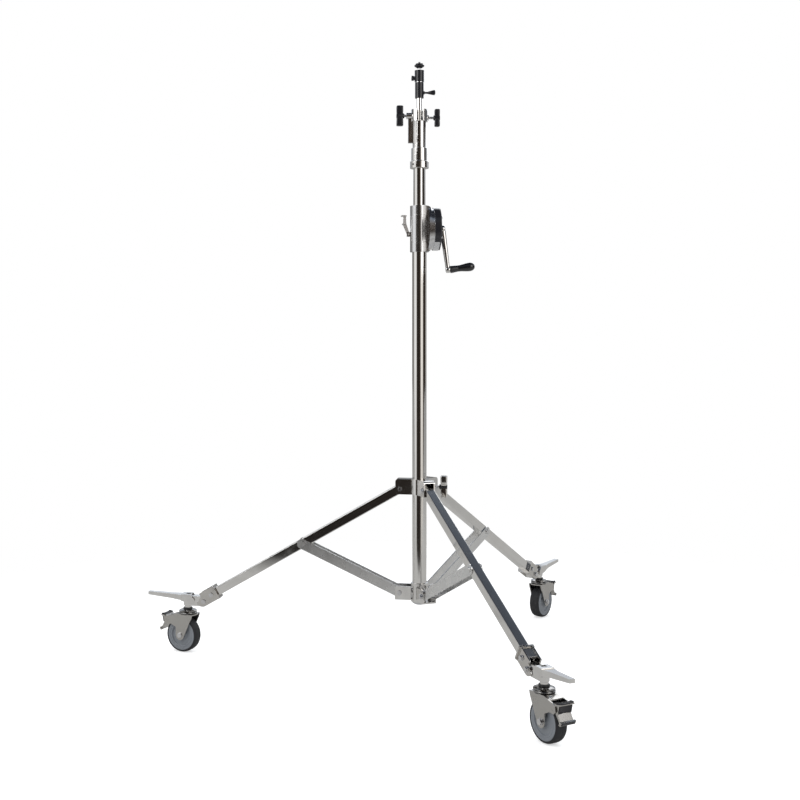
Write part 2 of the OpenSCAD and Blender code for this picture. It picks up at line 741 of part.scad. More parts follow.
module top_tube() color([0.83, 0.82, 0.82]) translate([0, 0, top_z]) difference() {
    cylinder(h = top_len, r = top_r);
    translate([0, 0, -cut]) cylinder(h = top_len + 2 * cut, r = top_r - top_wall);
}

// Outline of the housing's block, from the mast's axis outwards, with two round corners
module block_outline() {
    corner = 12;
    half_h = housing_h / 2 - 1;
    reach = sleeve_d / 2 + 5;
    translate([0, -half_h]) square([reach - corner, 2 * half_h]);
    translate([0, corner - half_h]) square([reach, 2 * (half_h - corner)]);
    for (z = [-1, 1]) translate([reach - corner, z * (half_h - corner)]) circle(corner);
}

// Sleeve and round case of the winch, cut for the column, the drum and the shaft
module winch_housing() color([0.66, 0.66, 0.68]) winch_frame() difference() {
    union() {
        translate([0, 0, housing_z]) cylinder(h = housing_h, d = sleeve_d);
        translate([0, 0, winch_z]) {
            plate_xz(1 - sleeve_d / 2, sleeve_d / 2 - 1) block_outline();
            bar_x(sleeve_d / 2 - 4, sleeve_d / 2 + 3, case_r + 2);
            bar_x(sleeve_d / 2 - 4, sleeve_d / 2 + 13, case_r - 3);
            bar_x(sleeve_d / 2 + 11, case_x, case_r);
        }
        translate([slip_x - 4, -6, slip_z - 6]) cube([14, 12, 12]);
    }
    translate([0, 0, housing_z - cut]) cylinder(h = column_top + bush_lip - housing_z + cut, r = column_r);
    translate([0, 0, housing_z]) cylinder(h = housing_h + cut, r = middle_r + side_gap);
    translate([0, 0, winch_z]) {
        bar_x(case_back, case_x + cut, case_inner_r);
        bar_x(column_r + column_wall, case_x, shaft_d / 2 + run_fit);
        for (a = [0:60:300]) rotate([a, 0, 0]) translate([0, 0, case_r - case_wall])
            bar_x(case_x - 12, case_x + cut, 2);
    }
    translate([slip_x, 0, slip_z]) bar_y(10, 2.5);
    translate([slip_x - 15, -3 - side_gap, slip_z - 20]) cube([14.5 + slip_out, 6 + 2 * side_gap, 40]);
}

module winch_cover() color([0.30, 0.30, 0.33]) winch_frame() translate([0, 0, winch_z]) difference() {
    union() {
        bar_x(case_x, case_x + cover_t, case_r - 1);
        bar_x(case_x, case_x + cover_t + cover_boss, 14);
    }
    bar_x(case_x - cut, case_x + cover_t + cover_boss + cut, shaft_d / 2 + run_fit);
    for (a = [0:60:300]) rotate([a, 0, 0]) translate([0, 0, case_r - case_wall])
        bar_x(case_x - cut, case_x + cover_t + cut, 2);
}

module winch_screws() color([0.82, 0.82, 0.84]) winch_frame() translate([0, 0, winch_z])
    for (a = [0:60:300]) rotate([a, 0, 0]) translate([0, 0, case_r - case_wall]) {
        bar_x(case_x - 10, case_x + cover_t, 2);
        bar_x(case_x + cover_t, case_x + cover_t + 2.5, 4);
    }

// Slip lever: a small catch on the housing's left side
module slip_lever() color([0.86, 0.86, 0.86]) winch_frame()
    translate([slip_x, 0, slip_z]) {
        plate_xz(-3, 3) {
            circle(4);
            polygon([[-4, 0], [-15, 26], [-14, 50], [-7, 50], [-6, 30], [3, 3]]);
        }
        bar_y(6, 2.5 - run_fit);
        translate([-20, -11, 50]) cube([14, 22, 3]);
        translate([-17, -9, 27]) cube([10, 18, 3]);
    }

// Cable drum and crank shaft: a spool on the shaft that the crank turns
module cable_drum() color([0.70, 0.70, 0.71]) winch_frame() translate([0, 0, winch_z]) {
    x0 = case_back + drum_gap;
    x1 = case_x - drum_gap;
    bar_x(column_r + column_wall + side_gap, shaft_end, shaft_d / 2);
    bar_x(x0, x1, drum_r);
    bar_x(x0, x0 + 3, case_inner_r - drum_gap);
    bar_x(x1 - 3, x1, case_inner_r - drum_gap);
}

module crank_arm() color([0.82, 0.82, 0.83]) winch_frame() translate([0, 0, winch_z]) {
    arm_t = 11;
    difference() {
        union() {
            bar_x(crank_hub_x, shaft_end + 3, 11);
            translate([crank_lean_x, 0, 0]) rotate([0, -crank_lean, 0]) {
                translate([-arm_t / 2, 0, 0]) rotate([90, 0, 90]) linear_extrude(arm_t)
                    polygon([[-9, 0], [9, 0], [6, -crank_throw], [-6, -crank_throw]]);
                translate([0, 0, -crank_throw]) {
                    bar_x(-4, 7, 8.5);
                    bar_x(0, grip_len - 6, 4);
                }
            }
        }
        bar_x(0, shaft_end, shaft_d / 2);
    }
}

module crank_grip() color([0.05, 0.05, 0.06]) winch_frame() translate([0, 0, winch_z])
    translate([crank_lean_x, 0, 0]) rotate([0, -crank_lean, 0])
        translate([7 + side_gap, 0, -crank_throw]) rotate([0, 90, 0]) difference() {
            rotate_extrude() polygon(concat([[0, 0]],
                [for (t = [0:0.05:1]) [grip_radius(t), t * grip_len]],
                [[0, grip_len]]));
            translate([0, 0, -cut]) cylinder(h = grip_len - 10, r = 4 + run_fit);
        }

// Receiver: a barrel on the top tube with a forked cup and two clamp bosses
module receiver() color([0.80, 0.80, 0.82]) winch_frame() difference() {
    union() {
        translate([0, 0, receiver_z]) cylinder(h = receiver_h - cup_h + eps, d = receiver_d);
        translate([0, 0, cup_z]) cylinder(h = cup_h, d = cup_d);
        translate([-cup_d / 2 - 8, -5, receiver_z + 14]) cube([20, 10, receiver_h - cup_h - 6]);
        translate([0, 0, left_clamp_z]) bar_x(-cup_d / 2 - 13, 0, 9);
        translate([0, 0, right_clamp_z]) bar_x(0, cup_d / 2 + 2, 8);
    }
    translate([0, 0, receiver_z - cut]) cylinder(h = receiver_seat + cut, r = top_r);
    translate([0, 0, receiver_z + receiver_seat - cut]) cylinder(h = 6, r = top_r - top_wall);
    translate([0, 0, socket_floor]) cylinder(h = receiver_h, r = stud_d / 2 + run_fit);
    translate([0, 0, cup_z]) cylinder(h = receiver_h, d = socket_d);
    translate([-cup_slot / 2, -cup_d, cup_z]) cube([cup_slot, 2 * cup_d, cup_h + cut]);
    translate([0, 0, left_clamp_z]) bar_x(-cup_d, 0, clamp_bore_r);
    translate([0, 0, right_clamp_z]) bar_x(0, cup_d, clamp_bore_r);
}

module receiver_knob_left() color([0.22, 0.22, 0.24]) winch_frame()
    translate([0, 0, left_clamp_z]) mirror([1, 0, 0])
        clamp_knob(stud_d / 2 + side_gap, cup_d / 2 + left_knob_out, left_knob_len, knob_t);

module receiver_knob_right() color([0.22, 0.22, 0.24]) winch_frame()
    translate([0, 0, right_clamp_z])
        clamp_knob(stud_d / 2 + side_gap, cup_d / 2 + right_knob_out, right_knob_len, knob_t - 4);

module stud() color([0.80, 0.79, 0.76]) translate([0, 0, socket_floor])
    cylinder(h = cup_z - socket_floor + stud_show + adapter_seat, d = stud_d);

// Adapter: a socket on the stud, a neck and the ball's housing
module stud_adapter() color([0.10, 0.10, 0.11]) winch_frame() difference() {
    union() {
        translate([0, 0, adapter_z]) cylinder(h = adapter_h, d = adapter_d);
        translate([0, 0, adapter_z + adapter_h - eps]) cylinder(h = ball_neck + 2 * eps, r = 7);
        translate([0, 0, ball_case_z]) cylinder(h = ball_case_h, d = ball_case_d);
        translate([0, 0, wing_z]) bar_x(0, adapter_d / 2 + 2, 5);
        translate([0, 0, lock_z]) bar_x(-ball_case_d / 2 - 2, 0, 6);
    }
    translate([0, 0, adapter_z - cut]) cylinder(h = adapter_seat + side_gap + cut, r = stud_d / 2 + run_fit);
    translate([0, 0, ball_z]) sphere(d = ball_d + 2 * run_fit);
    translate([0, 0, ball_z]) cylinder(h = ball_case_h, r1 = 6, r2 = ball_case_d / 2 + 8);
    translate([0, 0, wing_z]) bar_x(0, adapter_d, 3 + run_fit);
    translate([0, 0, lock_z]) bar_x(-ball_case_d, -ball_d / 4, 2.5 + run_fit);
}

// Wing screw of the adapter: a shank and a flat thumb blade
module adapter_screw() color([0.10, 0.10, 0.11]) winch_frame()
    translate([0, 0, wing_z]) {
        bar_x(stud_d / 2 + side_gap, adapter_d / 2 + wing_out, 3);
        translate([adapter_d / 2 + wing_out, 0, 0]) plate_xz(-4, 4) {
            polygon([[-6, -4], [8, -8], [16, -4], [16, 8], [10, 9], [-6, 4]]);
        }
    }

module ball_knob() color([0.08, 0.08, 0.09]) winch_frame()
    translate([0, 0, lock_z]) {
        bar_x(-ball_case_d / 2 - 4, -ball_d / 4 - 5, 2.5);
        bar_x(-ball_case_d / 2 - 9, -ball_case_d / 2 - 2 - side_gap, 7);
    }

module ball_stud() color([0.12, 0.12, 0.13]) {
    translate([0, 0, ball_z]) sphere(d = ball_d);
    translate([0, 0, ball_z]) cylinder(h = platform_z - ball_z + eps, r = 3.2);
    translate([0, 0, platform_z]) cylinder(h = platform_h, d = platform_d);
    translate([0, 0, platform_z + platform_h - eps]) cylinder(h = screw_len, d = screw_d);
}

column_tube();
base_collar();
base_pins();
base_plug();
winch_housing();
winch_cover();
winch_screws();
column_bush();
slip_lever();
cable_drum();
crank_arm();
crank_grip();
middle_tube();
lifting_cable();
middle_collar();
top_tube();
receiver();
receiver_knob_left();
receiver_knob_right();
stud();
stud_adapter();
adapter_screw();
ball_knob();
ball_stud();
leg_hub();
hub_pins();
hub_knob();
leg_tube(LEFT);  // leg_tube_left
leg_tube(FRONT);  // leg_tube_front
leg_tube(REAR);  // leg_tube_rear
leg_fitting(LEFT);  // leg_fitting_left
leg_fitting(FRONT);  // leg_fitting_front
leg_fitting(REAR);  // leg_fitting_rear
leg_bolts(LEFT);  // leg_bolts_left
leg_bolts(FRONT);  // leg_bolts_front
leg_bolts(REAR);  // leg_bolts_rear
brace(LEFT);  // brace_left
brace(FRONT);  // brace_front
brace(REAR);  // brace_rear
caster_carrier(LEFT);  // caster_carrier_left
caster_carrier(FRONT);  // caster_carrier_front
caster_carrier(REAR);  // caster_carrier_rear
foot_lever(LEFT);  // foot_lever_left
foot_lever(FRONT);  // foot_lever_front
foot_lever(REAR);  // foot_lever_rear
caster_fork(LEFT);  // caster_fork_left
caster_fork(FRONT);  // caster_fork_front
caster_fork(REAR);  // caster_fork_rear
wheel_axle(LEFT);  // wheel_axle_left
wheel_axle(FRONT);  // wheel_axle_front
wheel_axle(REAR);  // wheel_axle_rear
wheel_core(LEFT);  // wheel_core_left
wheel_core(FRONT);  // wheel_core_front
wheel_core(REAR);  // wheel_core_rear
tyre(LEFT);  // tyre_left
tyre(FRONT);  // tyre_front
tyre(REAR);  // tyre_rear
brake_pedal(LEFT);  // brake_pedal_left
brake_pedal(FRONT);  // brake_pedal_front
brake_pedal(REAR);  // brake_pedal_rear
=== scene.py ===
"""Dresses the wind-up stand: plated tubes, castings, casters, winch and clamps around the fixed frame.

Every size is in metres and every place is worked out from the frame: joints give the axes that pieces turn
about, and the frame's solids give how far each piece reaches.
"""

import json
import logging
import math
from collections.abc import Iterator
from contextlib import contextmanager
from dataclasses import dataclass, field
from enum import Enum

import bmesh
import bpy
import numpy as np
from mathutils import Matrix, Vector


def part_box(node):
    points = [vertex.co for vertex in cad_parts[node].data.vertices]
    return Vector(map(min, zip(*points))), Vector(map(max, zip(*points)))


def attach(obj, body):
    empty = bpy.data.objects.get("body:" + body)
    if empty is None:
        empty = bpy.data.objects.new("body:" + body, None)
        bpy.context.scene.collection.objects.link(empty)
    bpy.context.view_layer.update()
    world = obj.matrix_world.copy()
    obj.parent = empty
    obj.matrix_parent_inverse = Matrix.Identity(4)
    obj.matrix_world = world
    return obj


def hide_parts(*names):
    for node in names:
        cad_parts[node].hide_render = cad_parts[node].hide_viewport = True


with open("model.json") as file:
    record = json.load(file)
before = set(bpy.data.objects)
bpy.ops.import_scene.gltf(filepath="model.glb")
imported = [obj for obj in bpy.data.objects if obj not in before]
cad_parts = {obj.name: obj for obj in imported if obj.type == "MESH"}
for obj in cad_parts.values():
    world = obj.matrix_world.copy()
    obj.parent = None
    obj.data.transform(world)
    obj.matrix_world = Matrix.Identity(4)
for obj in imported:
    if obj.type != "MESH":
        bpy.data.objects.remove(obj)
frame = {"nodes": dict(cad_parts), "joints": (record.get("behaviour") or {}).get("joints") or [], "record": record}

LOG = logging.getLogger("stand")
MM = 0.001
ALONG_X, ALONG_Y, UP = np.eye(3)
LEGS = ("left", "front", "rear")


class Slot(Enum):
    """Material slots of the record."""

    TUBE = "chrome_tube"
    PRESSED = "chrome_fitting"
    FASTENER = "bright_steel"
    CAST = "cast_alloy"
    POLISHED = "polished_cast"
    BLACK = "black_cast"
    GRIP = "black_plastic"
    GUIDE = "guide_plastic"
    WHEEL = "wheel_plastic"
    TYRE = "tyre_rubber"
    CABLE = "steel_cable"


# Node trees


def add_node(tree: bpy.types.NodeTree, kind: str, **values: object) -> bpy.types.Node:
    """Adds a node to a tree and sets or links its inputs.

    Args:
        tree: the node tree.
        kind: the node's type without its ShaderNode prefix.
        values: i0, i1 and so on are inputs by number. Other names are the node's settings, or inputs with
            underscores for spaces. A socket links, anything else is set.

    Returns:
        The new node.
    """
    node = tree.nodes.new("ShaderNode" + kind)
    for key, value in values.items():
        numbered = key[0] == "i" and key[1:].isdigit()
        linked = isinstance(value, bpy.types.NodeSocket)
        if not numbered and not linked and hasattr(node, key):
            setattr(node, key, value)
            continue
        socket = node.inputs[int(key[1:]) if numbered else key.replace("_", " ")]
        if linked:
            tree.links.new(value, socket)
        else:
            socket.default_value = value
    return node


class Sketch:
    """Builds one material's node tree, a node at a time."""

    def __init__(self, name: str) -> None:
        """Starts an empty material with its output and Object coordinates.

        Args:
            name: the material's name.
        """
        self.material = bpy.data.materials.new(name)
        self.material.use_nodes = True
        self.tree = self.material.node_tree
        self.tree.nodes.clear()
        self.output = self.tree.nodes.new("ShaderNodeOutputMaterial")
        self.coordinates = self.tree.nodes.new("ShaderNodeTexCoord").outputs["Object"]

    def add(self, kind: str, **values: object) -> bpy.types.Node:
        """Adds a node to the material, with values as add_node takes them."""
        return add_node(self.tree, kind, **values)

    def noise(self, scale: float, detail: float = 3.0, stretch: tuple = (1, 1, 1)) -> bpy.types.NodeSocket:
        """Noise over Object coordinates, stretched along the axes.

        Args:
            scale: features per metre.
            detail: octaves of the noise.
            stretch: factors on the three axes; a small one draws the pattern out along that axis.

        Returns:
            The noise's value socket.
        """
        mapped = self.add("Mapping", Vector=self.coordinates, Scale=stretch)
        return self.add("TexNoise", Vector=mapped.outputs[0], Scale=scale, Detail=detail).outputs[0]

    def spread(self, value: bpy.types.NodeSocket, low: float, high: float) -> bpy.types.NodeSocket:
        """Maps the middle of a noise's range to low and high.

        Args:
            value: the noise's value.
            low: the result where the noise is low.
            high: the result where the noise is high.

        Returns:
            The mapped value socket.
        """
        mapped = self.add("MapRange", Value=value, From_Min=0.3, From_Max=0.7, To_Min=low, To_Max=high)
        return mapped.outputs[0]

    def mix(self, factor: bpy.types.NodeSocket, first: tuple, second: tuple) -> bpy.types.NodeSocket:
        """Mixes two colours by a value.

        Args:
            factor: 0 gives the first colour and 1 the second.
            first: a colour as three numbers.
            second: a colour as three numbers.

        Returns:
            The mixed colour socket.
        """
        ramp = self.add("ValToRGB", Fac=factor)
        ramp.color_ramp.elements[0].color = (*first, 1)
        ramp.color_ramp.elements[1].color = (*second, 1)
        return ramp.outputs[0]

    def bump(self, height: bpy.types.NodeSocket, depth: float, below: bpy.types.NodeSocket | None = None,
             strength: float = 1.0) -> bpy.types.NodeSocket:
        """Adds a bump layer of a real depth on top of another one.

        Args:
            height: the height's value, from 0 to 1.
            depth: the depth of the relief in metres.
            below: the normal of the layer under it.
            strength: the share of the layer that counts.

        Returns:
            The bumped normal socket.
        """
        node = self.add("Bump", Height=height, Distance=depth, Strength=strength)
        if below is not None:
            self.tree.links.new(below, node.inputs["Normal"])
        return node.outputs[0]

    def finish(self, **values: object) -> bpy.types.Material:
        """Adds the principled shader, links it to the output and returns the material."""
        shader = self.add("BsdfPrincipled", **values)
        self.tree.links.new(shader.outputs[0], self.output.inputs["Surface"])
        return self.material


# Finishes


@dataclass(frozen=True)
class Finish:
    """A surface whose colour and roughness follow one pattern of noise, over layers of fine relief.

    Attributes:
        name: the material's name.
        colours: colours where the pattern is low and where it is high.
        roughness: roughness where the pattern is low and where it is high.
        pattern: scale, detail and stretch of the pattern, as Sketch.noise takes them.
        metallic: 1 for metal and 0 for anything else.
        coat: weight of the clear gloss on top.
        coat_roughness: roughness of that gloss.
    """

    name: str
    colours: tuple
    roughness: tuple
    pattern: tuple = ()
    metallic: float = 0.0
    coat: float = 0.0
    coat_roughness: float = 0.06

    def relief(self) -> tuple:
        """Layers of relief from the lowest up: each one's noise, depth in metres and strength."""
        raise NotImplementedError

    def tint(self, art: Sketch, pattern: bpy.types.NodeSocket) -> bpy.types.NodeSocket:
        """The pattern that the colour follows."""
        return pattern

    def inputs(self, art: Sketch) -> dict:
        """Adds the finish's patterns to a sketch and returns the shader's inputs."""
        pattern = art.noise(*self.pattern)
        normal = None
        for layer, depth, strength in self.relief():
            normal = art.bump(art.noise(*layer), depth, normal, strength)
        return {
            "Base_Color": art.mix(self.tint(art, pattern), *self.colours),
            "Metallic": self.metallic,
            "Roughness": art.spread(pattern, *self.roughness),
            "Coat_Weight": self.coat,
            "Coat_Roughness": self.coat_roughness,
            "Normal": normal,
        }

    def material(self) -> bpy.types.Material:
        """Builds the material and returns it."""
        art = Sketch(self.name)
        return art.finish(**self.inputs(art))


@dataclass(frozen=True)
class Plating(Finish):
    """Bright plating on steel: a clear mirror with hazy smudges, which are rougher, and hair scratches.

    Attributes:
        scratch_scale: hair scratches per metre.
        grain: stretch of the scratches on the three axes.
        ripple: depth of the slow ripple under the plating, in metres.
    """

    pattern: tuple = (26.0, 5.0)
    metallic: float = 1.0
    scratch_scale: float = 900.0
    grain: tuple = (1.0, 1.0, 0.03)
    ripple: float = 0.00002

    def relief(self) -> tuple:
        """Hair scratches over the slow ripple."""
        return ((55.0, 1.0), self.ripple, 0.6), ((self.scratch_scale, 2.0, self.grain), 0.000004, 0.5)


@dataclass(frozen=True)
class Casting(Finish):
    """Cast alloy: a fine sand texture, softer where it was ground, with darker patches.

    Attributes:
        wave: depth of the slow unevenness in metres.
    """

    pattern: tuple = (38.0, 4.0)
    metallic: float = 1.0
    wave: float = 0.00012

    def relief(self) -> tuple:
        """The sand texture over the slow unevenness."""
        return ((70.0, 2.0), self.wave, 0.7), ((2400.0, 2.0), 0.00002, 0.6)


@dataclass(frozen=True)
class BandedCasting(Casting):
    """Cast alloy that is lacquered black beyond a plane across a joint's axis.

    Attributes:
        along: the joint whose axis crosses the plane.
        start: how far from the mast's axis the lacquer starts, in metres.
        low: how far below the joint the lacquer ends, in metres.
        lacquer: colour of the lacquer.
        gloss: roughness of the lacquer.
        edge: width over which the lacquer ends, in metres.
    """

    along: str = "crank_turn"
    start: float = 37 * MM
    low: float = 40 * MM
    lacquer: tuple = (0.016, 0.016, 0.02)
    gloss: float = 0.16
    edge: float = 0.5 * MM

    def inputs(self, art: Sketch) -> dict:
        """Adds the casting's patterns and the lacquer to a sketch and returns the shader's inputs.

        The black share rises from 0 to 1 over a short edge of the distance along the axis, which is the
        dot product of the Object coordinates and the axis. It is 0 again under the lacquer's end.
        """
        bare = super().inputs(art)
        info = joint(self.along)
        mast = art.add("VectorMath", operation="DOT_PRODUCT", i0=art.coordinates, i1=info["axis"])
        height = art.add("SeparateXYZ", Vector=art.coordinates).outputs[2]
        floor = info["pos_m"][2] - self.low
        beyond, above = (
            art.add("MapRange", Value=value, From_Min=first, From_Max=first + self.edge).outputs[0]
            for value, first in ((mast.outputs["Value"], self.start), (height, floor)))
        black = art.add("Math", operation="MULTIPLY", i0=beyond, i1=above).outputs[0]
        colour = art.add("Mix", data_type="RGBA", i0=black, i6=bare["Base_Color"], i7=(*self.lacquer, 1))
        rough = art.add("Mix", data_type="FLOAT", i0=black, i2=bare["Roughness"], i3=self.gloss)
        metal = art.add("Math", operation="SUBTRACT", i0=1.0, i1=black)
        return {**bare, "Base_Color": colour.outputs[2], "Roughness": rough.outputs[0],
                "Metallic": metal.outputs[0]}


@dataclass(frozen=True)
class Lacquer(Finish):
    """Black lacquer on metal: low gloss, with dust in the grain and paler rubbed patches."""

    pattern: tuple = (60.0, 5.0)

    def relief(self) -> tuple:
        """The lacquer's fine texture."""
        return (((1300.0, 3.0), 0.00003, 0.5),)


@dataclass(frozen=True)
class Moulding(Finish):
    """Moulded plastic: even colour with a faint flow pattern and a fine moulded skin."""

    pattern: tuple = (34.0, 3.0, (1.0, 1.0, 0.35))

    def relief(self) -> tuple:
        """The moulded skin."""
        return (((1700.0, 2.0), 0.00003, 0.5),)


@dataclass(frozen=True)
class Rubber(Finish):
    """Solid tyre rubber: matt, mottled, with patches of dust."""

    pattern: tuple = (75.0, 6.0)

    def relief(self) -> tuple:
        """The pits."""
        return (((900.0, 4.0), 0.00008, 0.6),)

    def tint(self, art: Sketch, pattern: bpy.types.NodeSocket) -> bpy.types.NodeSocket:
        """The dust's share, which is above 0 only where the pattern is high."""
        return art.add("MapRange", Value=pattern, From_Min=0.5, From_Max=0.85).outputs[0]


EVEN = (1.0, 1.0, 1.0)
FINISHES = {
    "tube": Plating("column_chrome", ((0.74, 0.73, 0.71), (0.83, 0.82, 0.80)), (0.11, 0.045)),
    "pressed": Plating("pressed_steel_chrome", ((0.59, 0.575, 0.55), (0.69, 0.675, 0.65)), (0.20, 0.10),
                       scratch_scale=700.0, grain=EVEN, ripple=0.00006),
    "satin": Plating("satin_strap_steel", ((0.76, 0.76, 0.76), (0.86, 0.86, 0.85)), (0.34, 0.22),
                     scratch_scale=1500.0, grain=(0.08, 0.08, 1.0)),
    "lever": Plating("lever_bright_steel", ((0.74, 0.73, 0.72), (0.88, 0.87, 0.86)), (0.46, 0.34),
                     grain=EVEN),
    "fastener": Plating("fastener_zinc", ((0.64, 0.64, 0.66), (0.80, 0.80, 0.80)), (0.24, 0.12),
                        scratch_scale=1500.0, grain=EVEN, ripple=0.00001),
    "fork": Plating("fork_satin_plate", ((0.47, 0.46, 0.44), (0.56, 0.545, 0.52)), (0.28, 0.18),
                    scratch_scale=1200.0, grain=(1.0, 1.0, 0.2), ripple=0.00003),
    # painted shade and painted reflection: the swivel bearing's chrome gets a dark colour
    "bearing": Plating("bearing_dark_steel", ((0.24, 0.235, 0.23), (0.36, 0.355, 0.35)), (0.14, 0.06),
                       scratch_scale=1500.0, grain=(1.0, 1.0, 0.05)),
    "polished": Casting("polished_casting", ((0.70, 0.69, 0.68), (0.84, 0.83, 0.81)), (0.16, 0.07)),
    "cast": Casting("satin_winch_casting", ((0.55, 0.555, 0.57), (0.66, 0.665, 0.68)), (0.19, 0.12),
                    wave=0.00004),
    "case": BandedCasting("winch_case_casting", ((0.66, 0.665, 0.68), (0.76, 0.765, 0.78)), (0.20, 0.14),
                          wave=0.00004),
    "cable": Casting("greased_cable", ((0.08, 0.075, 0.07), (0.28, 0.27, 0.26)), (0.5, 0.3)),
    "black": Lacquer("black_lacquer", ((0.021, 0.021, 0.024), (0.009, 0.009, 0.011)), (0.13, 0.26)),
    "pad": Lacquer("pad_lacquer", ((0.02, 0.02, 0.024), (0.008, 0.008, 0.010)), (0.10, 0.2)),
    "drum_black": Lacquer("drum_cover_lacquer", ((0.05, 0.05, 0.055), (0.025, 0.025, 0.03)), (0.2, 0.32)),
    "grip": Moulding("gloss_grip", ((0.006, 0.006, 0.008), (0.012, 0.012, 0.014)), (0.10, 0.18), coat=0.6),
    "guide": Moulding("guide_bush", ((0.02, 0.02, 0.02), (0.035, 0.035, 0.035)), (0.35, 0.5)),
    "wheel": Moulding("wheel_centre", ((0.19, 0.205, 0.225), (0.25, 0.265, 0.285)), (0.34, 0.48)),
    "tyre": Rubber("tyre_rubber", ((0.014, 0.0145, 0.017), (0.045, 0.044, 0.044)), (0.52, 0.78)),
}


# Places


@dataclass(frozen=True)
class Axes:
    """A right-handed set of axes with its origin, in the row's frame.

    Attributes:
        origin: the point the axes start from.
        x: first direction.
        y: second direction.
        z: third direction.
    """

    origin: np.ndarray
    x: np.ndarray
    y: np.ndarray
    z: np.ndarray

    @staticmethod
    def upright(origin: np.ndarray, x: np.ndarray) -> "Axes":
        """Axes with z straight up and x along a level direction."""
        x = np.asarray(x, float)
        return Axes(np.asarray(origin, float), x, np.cross(UP, x), UP)

    @staticmethod
    def about(origin: np.ndarray, z: np.ndarray, x: np.ndarray) -> "Axes":
        """Axes with z along a joint's axis and x near a given direction."""
        z = np.asarray(z, float) / np.linalg.norm(z)
        x = np.asarray(x, float) - np.dot(x, z) * z
        x = x / np.linalg.norm(x)
        return Axes(np.asarray(origin, float), x, np.cross(z, x), z)

    @staticmethod
    def of_joint(name: str, sign: float = 1.0) -> "Axes":
        """Axes at a joint, with z along its axis, or against it for a sign of -1, and x near upright."""
        info = joint(name)
        return Axes.about(info["pos_m"], np.array(info["axis"]) * sign, UP)

    @staticmethod
    def beside_joint(name: str) -> "Axes":
        """Axes at a joint with a level axis, with x along that axis and z up."""
        info = joint(name)
        return Axes.upright(info["pos_m"], info["axis"])

    def place(self, points: np.ndarray) -> np.ndarray:
        """Turns local points into the row's frame."""
        return self.origin + np.asarray(points) @ np.stack([self.x, self.y, self.z])

    def local(self, points: np.ndarray) -> np.ndarray:
        """Turns points of the row's frame into local ones."""
        return (np.asarray(points) - self.origin) @ np.stack([self.x, self.y, self.z]).T

    def extent(self, node: str) -> tuple[np.ndarray, np.ndarray]:
        """Lowest and highest local coordinates of a CAD node.

        Args:
            node: the node's name.

        Returns:
            The low and the high corner along these axes.
        """
        mesh = frame["nodes"][node].data
        points = np.empty(len(mesh.vertices) * 3)
        mesh.vertices.foreach_get("co", points)
        local = self.local(points.reshape(-1, 3))
        return local.min(0), local.max(0)


def joint(name: str) -> dict:
    """The frame's joint of that name, with its place and axis."""
    return next(j for j in frame["joints"] if j["name"] == name)


# Surfaces


@dataclass
class Surface:
    """Vertices and four-sided faces of one or more closed surfaces."""

    vertices: np.ndarray
    faces: np.ndarray

    def __add__(self, other: "Surface") -> "Surface":
        """Both surfaces in one."""
        return Surface(np.vstack([self.vertices, other.vertices]),
                       np.vstack([self.faces, other.faces + len(self.vertices)]))

    def at(self, axes: Axes) -> "Surface":
        """The surface placed along other axes."""
        return Surface(axes.place(self.vertices), self.faces)


def together(surfaces: list) -> Surface:
    """Several surfaces in one."""
    total = surfaces[0]
    for surface in surfaces[1:]:
        total = total + surface
    return total


def sheet_of(points: np.ndarray, loop_rows: bool = False, loop_columns: bool = True) -> Surface:
    """Joins a grid of points into four-sided faces.

    Face (r, c) joins points (r, c), (r, c+1), (r+1, c+1) and (r+1, c), with indices taken round where a
    direction is a loop.

    Args:
        points: rows by columns by 3.
        loop_rows: whether the last row joins the first.
        loop_columns: whether the last column joins the first.

    Returns:
        The surface.
    """
    rows, columns = points.shape[:2]
    r, c = np.meshgrid(np.arange(rows if loop_rows else rows - 1),
                       np.arange(columns if loop_columns else columns - 1), indexing="ij")
    r2, c2 = (r + 1) % rows, (c + 1) % columns
    corners = [r * columns + c, r * columns + c2, r2 * columns + c2, r2 * columns + c]
    return Surface(points.reshape(-1, 3), np.stack(corners, -1).reshape(-1, 4))


def lathe(rows: list, segments: int = 64, waves: int = 0, depth: float = 0.0,
          loop: bool = False) -> Surface:
    """Turns a profile about z: point (r cos a, r sin a, h) for each of its rows and each angle a.

    With waves, r is multiplied by 1 + depth * cos(waves * a), which gives flutes or a knurl.

    Args:
        rows: pairs of height and radius, from one end to the other.
        segments: steps round the axis.
        waves: flutes round the axis.
        depth: half the flutes' depth as a share of the radius.
        loop: whether the profile closes on itself, as a ring's does.

    Returns:
        The surface of revolution, closed at its ends.
    """
    height, radius = np.array(rows, float).T
    if not loop:
        height = np.concatenate([height[:1], height, height[-1:]])
        radius = np.concatenate([[0.0], radius, [0.0]])
    angle = np.linspace(0, 2 * math.pi, segments, endpoint=False)
    r = radius[:, None] * (1 + depth * np.cos(waves * angle))[None, :]
    points = np.stack([r * np.cos(angle), r * np.sin(angle), np.broadcast_to(height[:, None], r.shape)], -1)
    return sheet_of(points, loop_rows=loop)


def profile(rows: list, height: float = 0.0, radius: float = 0.0) -> list:
    """Profile points for lathe, in metres.

    Args:
        rows: pairs of height and radius in millimetres.
        height: height that the rows' heights are counted from, in metres.
        radius: radius that the rows' radii are counted from, in metres.

    Returns:
        Pairs of height and radius in metres.
    """
    return [(height + h * MM, radius + r * MM) for h, r in rows]


def both_halves(half: list) -> list:
    """A profile and its mirror image below height 0, as one loop."""
    return half + [(-h, r) for h, r in half[::-1]]


